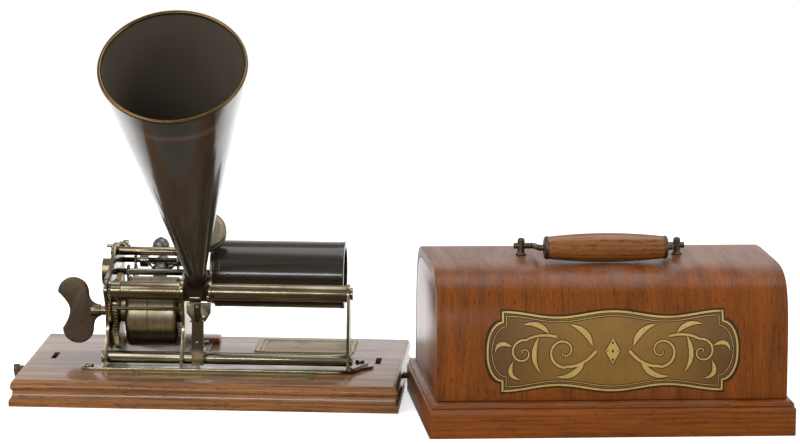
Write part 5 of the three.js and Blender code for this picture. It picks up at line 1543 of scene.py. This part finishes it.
class PHONOGRAPH_OT_handle(bpy.types.Operator):
    """Make the carrying handle: two eyes, a bent bail and a turned grip with ferrules"""

    bl_idname = "phonograph.handle"
    bl_label = "Handle"

    def execute(self, context):
        for side in SIDES:
            low, high = corners(f"handle_eye_{side}")
            foot = ((low.x + high.x) / 2, (low.y + high.y) / 2, low.z)
            profile = eased([*EYE_PROFILE, (high.z - low.z, 0)], EYE_EASE)
            eye = smooth(lathe(f"eye_post_{side}", profile, foot, Z_AXIS, SMALL_SIDES))
            fitted(eye, "lid", "dark_metal", f"handle_eye_{side}")
        half = ((BAIL_ARM, GRIP_PLACE), (BAIL_ARM, EYE_PIVOT), (BAIL_HALF, EYE_PIVOT))
        stops = [Vector((LID_MIDDLE - x, *place)) for x, place in half[::-1]]
        stops += [Vector((LID_MIDDLE + x, *place)) for x, place in half]
        rise = Vector((0, *GRIP_PLACE)) - Vector((0, *EYE_PIVOT))
        bail = tube_along("bail_rod", bent(stops), BAIL_RADIUS, rise.cross(X_AXIS).normalized())
        fitted(set_on_lid(rounded_edges(bail, BAIL_EDGE, sharp=60)), "bail", "dark_metal", "handle_bail")
        wooden_grip()
        return {"FINISHED"}


# Ornament on the lid's front: a plain symmetrical design of scrolls and leaves inside a thin frame
FIELD_MIDDLE = (143, 67)
FIELD_HALF = (99, 32)
FIELD_END = 12
FIELD_STEP = 11
FIELD_TIP = 3
FIELD_WAVE = 4.5
FIELD_ROWS = 12
FIELD_COLUMNS = 30
TIP_COLUMNS = 10
TIP_GAP = 0.01
EDGE_LEVEL = 0.08
EDGE_SPREAD = 1.1
FIELD_LEVEL = 0.16
SUNK = 0.4

# The raised strips: finish, height and spread of each layer, then their lines
LAYERS = (("ornament_line", "ornament_line", 0.24, 0.7), ("ornament_gilt", "gilt", 0.32, 0))
SCROLLS = (
    (((13, 0), ((24, -13), (36, -12))), ((38, 0), 12, 1.35, -0.25, 1), 2.4),
    (((44, 11.5), ((58, 15), (68, 9))), ((70, -1), 9.5, 1.3, 0.25, -1), 2.0),
)
LEAVES = (
    ((22, -8), (30, -22), (44, -20), 4.2), ((16, 4), (20, 18), (34, 21), 4.2),
    ((50, 14), (58, 24), (70, 21), 3.6), ((58, 12), (66, -6), (56, -17), 3.4),
    ((79, 4), (90, 10), (92, 0), 3.0), ((78, -8), (84, -20), (72, -22), 3.0),
)
LOZENGES = ((9.5, 1.0), (5.5, 3.6))
LOZENGE_SHARE = 0.55
BORDERS = ((1.2, 1.5), (4.4, 0.5))
CURL_STEPS = 26
CURL_POWER = 1.15
CURL_EYE = 0.7
FINE_WIDTH = 0.5
LEAF_END = 0.3
LEAF_POWER = 0.8


def on_front(u, v, height):
    """A place on the front face of the lid, at a height off it."""
    rise = (v - ARCH_BASE) / ARCH_RISE
    across = max(1 - rise**ARCH_POWER, 0) ** (1 / ARCH_POWER)
    slope = ARCH_POWER - 1
    normal = Vector((0, -(across**slope) / ARCH_HALF, rise**slope / ARCH_RISE))
    return Vector((u, LID_DEPTH / 2 - ARCH_HALF * across, v)) + normal.normalized() * height


def ribbon(line, widths, height, spread):
    """The points of a thin raised strip along a line of the front face."""
    points = []
    for i, (u, v) in enumerate(line):
        before, after = line[max(i - 1, 0)], line[min(i + 1, len(line) - 1)]
        du, dv = after[0] - before[0], after[1] - before[1]
        reach = (widths[i] / 2 + spread) / (math.hypot(du, dv) or 1)
        for sign, level in ((-1, -SUNK), (-1, height), (1, height), (1, -SUNK)):
            points.append(on_front(u - sign * dv * reach, v + sign * du * reach, level))
    return points


def curl(centre, radius, turns, start, spin):
    """A line that winds in to a centre."""
    steps = int(CURL_STEPS * turns)
    line = []
    for i in range(steps + 1):
        reach = radius * (1 - i / steps) ** CURL_POWER + CURL_EYE
        turn = FULL_TURN * (start + spin * turns * i / steps)
        line.append((centre[0] + reach * math.cos(turn), centre[1] + reach * math.sin(turn)))
    return line


def field_reach(u):
    """Half the height of the ornament's field at a place along it."""
    half, rise = FIELD_HALF
    if abs(u) <= half - FIELD_END:
        return rise - FIELD_WAVE * (1 - math.cos(FULL_TURN * u / (half - FIELD_END))) / 2
    share = (abs(u) - half + FIELD_END) / FIELD_END
    return (rise - FIELD_STEP) * math.sqrt(max(1 - share**2, 0)) + FIELD_TIP


def field_columns():
    """Places along the field, with two at each step of its outline."""
    step = FIELD_HALF[0] - FIELD_END
    inner = [step * i / FIELD_COLUMNS for i in range(-FIELD_COLUMNS, FIELD_COLUMNS + 1)]
    shares = [math.sin(math.pi / 2 * i / TIP_COLUMNS) for i in range(TIP_COLUMNS + 1)]
    tip = [step + TIP_GAP + (FIELD_END - TIP_GAP) * share for share in shares]
    return [-u for u in tip[::-1]] + inner + tip


def field_sheet(name, shrink, height):
    """A thin closed sheet over the field, drawn in a little all round."""
    columns = field_columns()
    points = []
    for level in (height, -SUNK):
        for u in columns:
            reach = field_reach(u) - shrink
            across = FIELD_MIDDLE[0] + u * (1 - shrink / FIELD_HALF[0])
            for row in range(FIELD_ROWS + 1):
                share = 2 * row / FIELD_ROWS - 1
                points.append(on_front(across, FIELD_MIDDLE[1] + reach * share, level))
    ring = FIELD_ROWS + 1
    below = ring * len(columns)
    faces = []
    for here in range(0, below - ring, ring):
        for corner in range(here, here + FIELD_ROWS):
            top = (corner, corner + 1, corner + 1 + ring, corner + ring)
            faces += [top, tuple(place + below for place in top)]
        for edge in (here, here + FIELD_ROWS):
            faces.append((edge, edge + ring, edge + ring + below, edge + below))
    for end in (0, below - ring):
        for corner in range(end, end + FIELD_ROWS):
            faces.append((corner, corner + 1, corner + 1 + below, corner + below))
    return set_on_lid(make(name, points, faces))


def ornament_lines():
    """The lines of the design from its middle, each with its widths, and with its mirrors up and down."""
    strips = []
    for stem, spiral, width in SCROLLS:
        line = traced(*stem) + curl(*spiral)
        count = len(line) - 1
        widths = [FINE_WIDTH + (width - FINE_WIDTH) * (1 - i / count) for i in range(count + 1)]
        strips.append((line, widths, (1,)))
    for start, bend, end, width in LEAVES:
        line = traced(start, (bend, end))
        count = len(line) - 1
        swell = [math.sin(math.pi * (i / count) ** LEAF_POWER) for i in range(count + 1)]
        strips.append((line, [LEAF_END + width * share for share in swell], (1,)))
    for reach, width in LOZENGES:
        strips.append(([(0, reach), (reach * LOZENGE_SHARE, 0)], [width] * 2, (1, -1)))
    for inset, width in BORDERS:
        shrink = 1 - inset / FIELD_HALF[0]
        border = [(u * shrink, field_reach(u) - inset) for u in field_columns() if u >= 0]
        border.append((border[-1][0], 0))
        strips.append((border, [width] * len(border), (1, -1)))
    return strips


class PHONOGRAPH_OT_ornament(bpy.types.Operator):
    """Make the gilt ornament on the front of the lid"""

    bl_idname = "phonograph.ornament"
    bl_label = "Lid ornament"

    def execute(self, context):
        fitted(field_sheet("ornament_edge", -EDGE_SPREAD, EDGE_LEVEL), "lid", "ornament_line")
        sheet = smooth(field_sheet("ornament_field", 0, FIELD_LEVEL), sharp=30)
        fitted(sheet, "lid", "ornament_field")
        for name, finish_name, height, spread in LAYERS:
            points, faces = [], []
            for line, widths, mirrors in ornament_lines():
                for up, across in ((up, across) for up in mirrors for across in (1, -1)):
                    mirrored = [(FIELD_MIDDLE[0] + across * u, FIELD_MIDDLE[1] + up * v) for u, v in line]
                    sides = tube_faces(len(line), 4)
                    faces += [tuple(corner + len(points) for corner in side) for side in sides]
                    points += ribbon(mirrored, widths, height, spread)
            layer = smooth(set_on_lid(make(name, points, faces)), sharp=30)
            fitted(layer, "lid", finish_name)
        return {"FINISHED"}


# The photograph's view
CAMERA_PLACE = (314.8, -3127.1, 609.4)
CAMERA_YAW = -2.992
CAMERA_PITCH = 8.549
CAMERA_ROLL = 0.477
CAMERA_LENS = 173.36
SENSOR_WIDTH = 36
CAMERA_REACH = 100

# The lamps' places, what they aim at and their sides, in metres; each takes a share of a power
LAMP_AIM = Vector((0.14, -0.06, 0.1))
LAMPS = {
    "key_lamp": ((-1.6, -1.9, 1.9), (2.0, 2.0), "key_power", 1),
    "strip_lamp": ((-0.35, -2.8, 0.6), (1.4, 0.14), "strip_power", 1),
    "top_lamp": ((0.5, 0.2, 2.4), (2.2, 1.6), "fill_power", 1),
    "side_lamp": ((2.3, -1.2, 1.0), (1.0, 1.4), "fill_power", 0.5),
}

# The floor, and the places along Y, in metres, between which mirrors lose the dim floor in front
FLOOR_MIDDLE = (150, 400)
FLOOR_THICKNESS = 20
FLOOR_PALE = ((0.93, 0.93, 0.93, 1), (0.95, 0.95, 0.95, 1))
FLOOR_DIM = (0.17, 0.155, 0.135, 1)
FLOOR_DIM_EDGE = (-0.16, 0.1)
FLOOR_LIFT = 0.5
FLOOR_NOISE = 6.0
FLOOR_ROUGHNESS = 0.9

# Headings between which the dimmer room in front, and the dimmer ceiling, give way to the white background
ROOM_EDGE = (-0.75, -0.15)
ROOM_LEVELS = (0.5, 1.0)
CEILING_EDGE = (0.3, 0.75)
CEILING_LEVELS = (1.0, 0.4)


def seen_rays(tree):
    """One for the rays that show the background: seen, mirrored or through glass."""
    camera, glossy, through = (
        node(tree, "LightPath", output=f"Is {kind} Ray") for kind in ("Camera", "Glossy", "Transmission")
    )
    return camera.maths("MAXIMUM", glossy).maths("MAXIMUM", through)


class PHONOGRAPH_OT_stage(bpy.types.Operator):
    """Make the camera, the floor, the lamps and the sky"""

    bl_idname = "phonograph.stage"
    bl_label = "Stage"

    def execute(self, context):
        scene = context.scene
        sizes = scene.phonograph_sizes
        self.camera(scene)
        self.floor(sizes.floor_size)
        for name, (place, sides, power, share) in LAMPS.items():
            self.lamp(name, place, sides, getattr(sizes, power) * share)
        self.sky(scene, sizes.sky_level)
        scene.view_settings.view_transform = "Standard"
        return {"FINISHED"}

    def camera(self, scene):
        yaw, pitch, roll = (math.radians(angle) for angle in (CAMERA_YAW, CAMERA_PITCH, CAMERA_ROLL))
        level = Vector((math.cos(yaw), -math.sin(yaw), 0))
        ahead = Vector((math.sin(yaw), math.cos(yaw), 0)) * math.cos(pitch) - Z_AXIS * math.sin(pitch)
        upward = level.cross(ahead)
        right = level * math.cos(roll) + upward * math.sin(roll)
        up = upward * math.cos(roll) - level * math.sin(roll)
        data = bpy.data.cameras.new("photo_camera")
        data.sensor_fit = "HORIZONTAL"
        data.sensor_width = SENSOR_WIDTH
        data.lens = CAMERA_LENS
        data.clip_end = CAMERA_REACH
        scene.camera = placed("photo_camera", data)
        turn = Matrix((right, up, -ahead)).transposed().to_4x4()
        scene.camera.matrix_world = Matrix.Translation(Vector(CAMERA_PLACE) * MM) @ turn

    def floor(self, side):
        half = side / 2 / MM
        x, y = FLOOR_MIDDLE
        floor = block("floor", (x - half, y - half, -FLOOR_THICKNESS), (x + half, y + half, 0))
        material, place = new_material("pale_floor")
        tree = material.node_tree
        front = ramp(part(place, "Y"), FLOOR_DIM_EDGE, FALLING)
        dim = front * node(tree, "LightPath", output="Is Glossy Ray")
        shown = mixed(dim, mixed(noise(place, FLOOR_NOISE), *FLOOR_PALE), FLOOR_DIM)
        shade(material, shown, FLOOR_ROUGHNESS, Specular_IOR_Level=0.0)
        lift = seen_rays(tree).maths("SUBTRACT", dim, clamp=True) * FLOOR_LIFT
        glow = node(tree, "Emission", {"Strength": lift})
        plain = Signal(tree.nodes["Principled BSDF"].outputs[0])
        feed(node(tree, "AddShader", (plain, glow)), tree.nodes["Material Output"].inputs["Surface"])
        floor.data.materials.append(material)

    def lamp(self, name, place, sides, power):
        data = bpy.data.lights.new(name, "AREA")
        data.shape = "RECTANGLE"
        data.size, data.size_y = sides
        data.energy = power
        lamp = placed(name, data)
        lamp.location = place
        lamp.rotation_euler = (LAMP_AIM - Vector(place)).to_track_quat("-Z", "Y").to_euler()

    def sky(self, scene, level):
        world = bpy.data.worlds.new("studio")
        world.use_nodes = True
        scene.world = world
        tree = world.node_tree
        background = tree.nodes["Background"].inputs
        background["Color"].default_value = (1, 1, 1, 1)
        heading = node(tree, "TexCoord", output="Generated")
        room = ramp(part(heading, "Y"), ROOM_EDGE, ROOM_LEVELS)
        room = room.maths("MINIMUM", ramp(part(heading, "Z"), CEILING_EDGE, CEILING_LEVELS))
        mirrored = node(tree, "LightPath", output="Is Glossy Ray")
        strength = ramp(seen_rays(tree), WHOLE, (level, 1.0))
        feed(strength * ramp(mirrored, WHOLE, (1.0, room)), background["Strength"])


class PHONOGRAPH_PT_panel(bpy.types.Panel):
    """Lists the pieces of the phonograph"""

    bl_label = "Cylinder phonograph"
    bl_idname = "PHONOGRAPH_PT_panel"
    bl_space_type = "VIEW_3D"
    bl_region_type = "UI"
    bl_category = "Phonograph"

    def draw(self, context):
        layout = self.layout
        for operator in OPERATORS:
            layout.operator(operator.bl_idname)
        for holder in HOLDERS:
            box = layout.box()
            values = getattr(context.scene, holder)
            for name in HOLDERS[holder].__annotations__:
                box.prop(values, name)


HOLDERS = {"phonograph_colours": PhonographColours, "phonograph_sizes": PhonographSizes}
OPERATORS = (
    PHONOGRAPH_OT_stage,
    PHONOGRAPH_OT_base,
    PHONOGRAPH_OT_frame,
    PHONOGRAPH_OT_motor,
    PHONOGRAPH_OT_key,
    PHONOGRAPH_OT_governor,
    PHONOGRAPH_OT_carriage,
    PHONOGRAPH_OT_reproducer,
    PHONOGRAPH_OT_horn,
    PHONOGRAPH_OT_record,
    PHONOGRAPH_OT_lid,
    PHONOGRAPH_OT_handle,
    PHONOGRAPH_OT_ornament,
)
CLASSES = (*HOLDERS.values(), *OPERATORS, PHONOGRAPH_PT_panel)


def register():
    for piece_class in CLASSES:
        bpy.utils.register_class(piece_class)
    for holder, group_class in HOLDERS.items():
        setattr(bpy.types.Scene, holder, bpy.props.PointerProperty(type=group_class))


def unregister():
    for holder in HOLDERS:
        delattr(bpy.types.Scene, holder)
    for piece_class in reversed(CLASSES):
        bpy.utils.unregister_class(piece_class)


def main():
    """Makes every piece in order."""
    register()
    for operator in OPERATORS:
        group_name, action = operator.bl_idname.split(".")
        getattr(getattr(bpy.ops, group_name), action)()


if __name__ == "__main__":
    main()
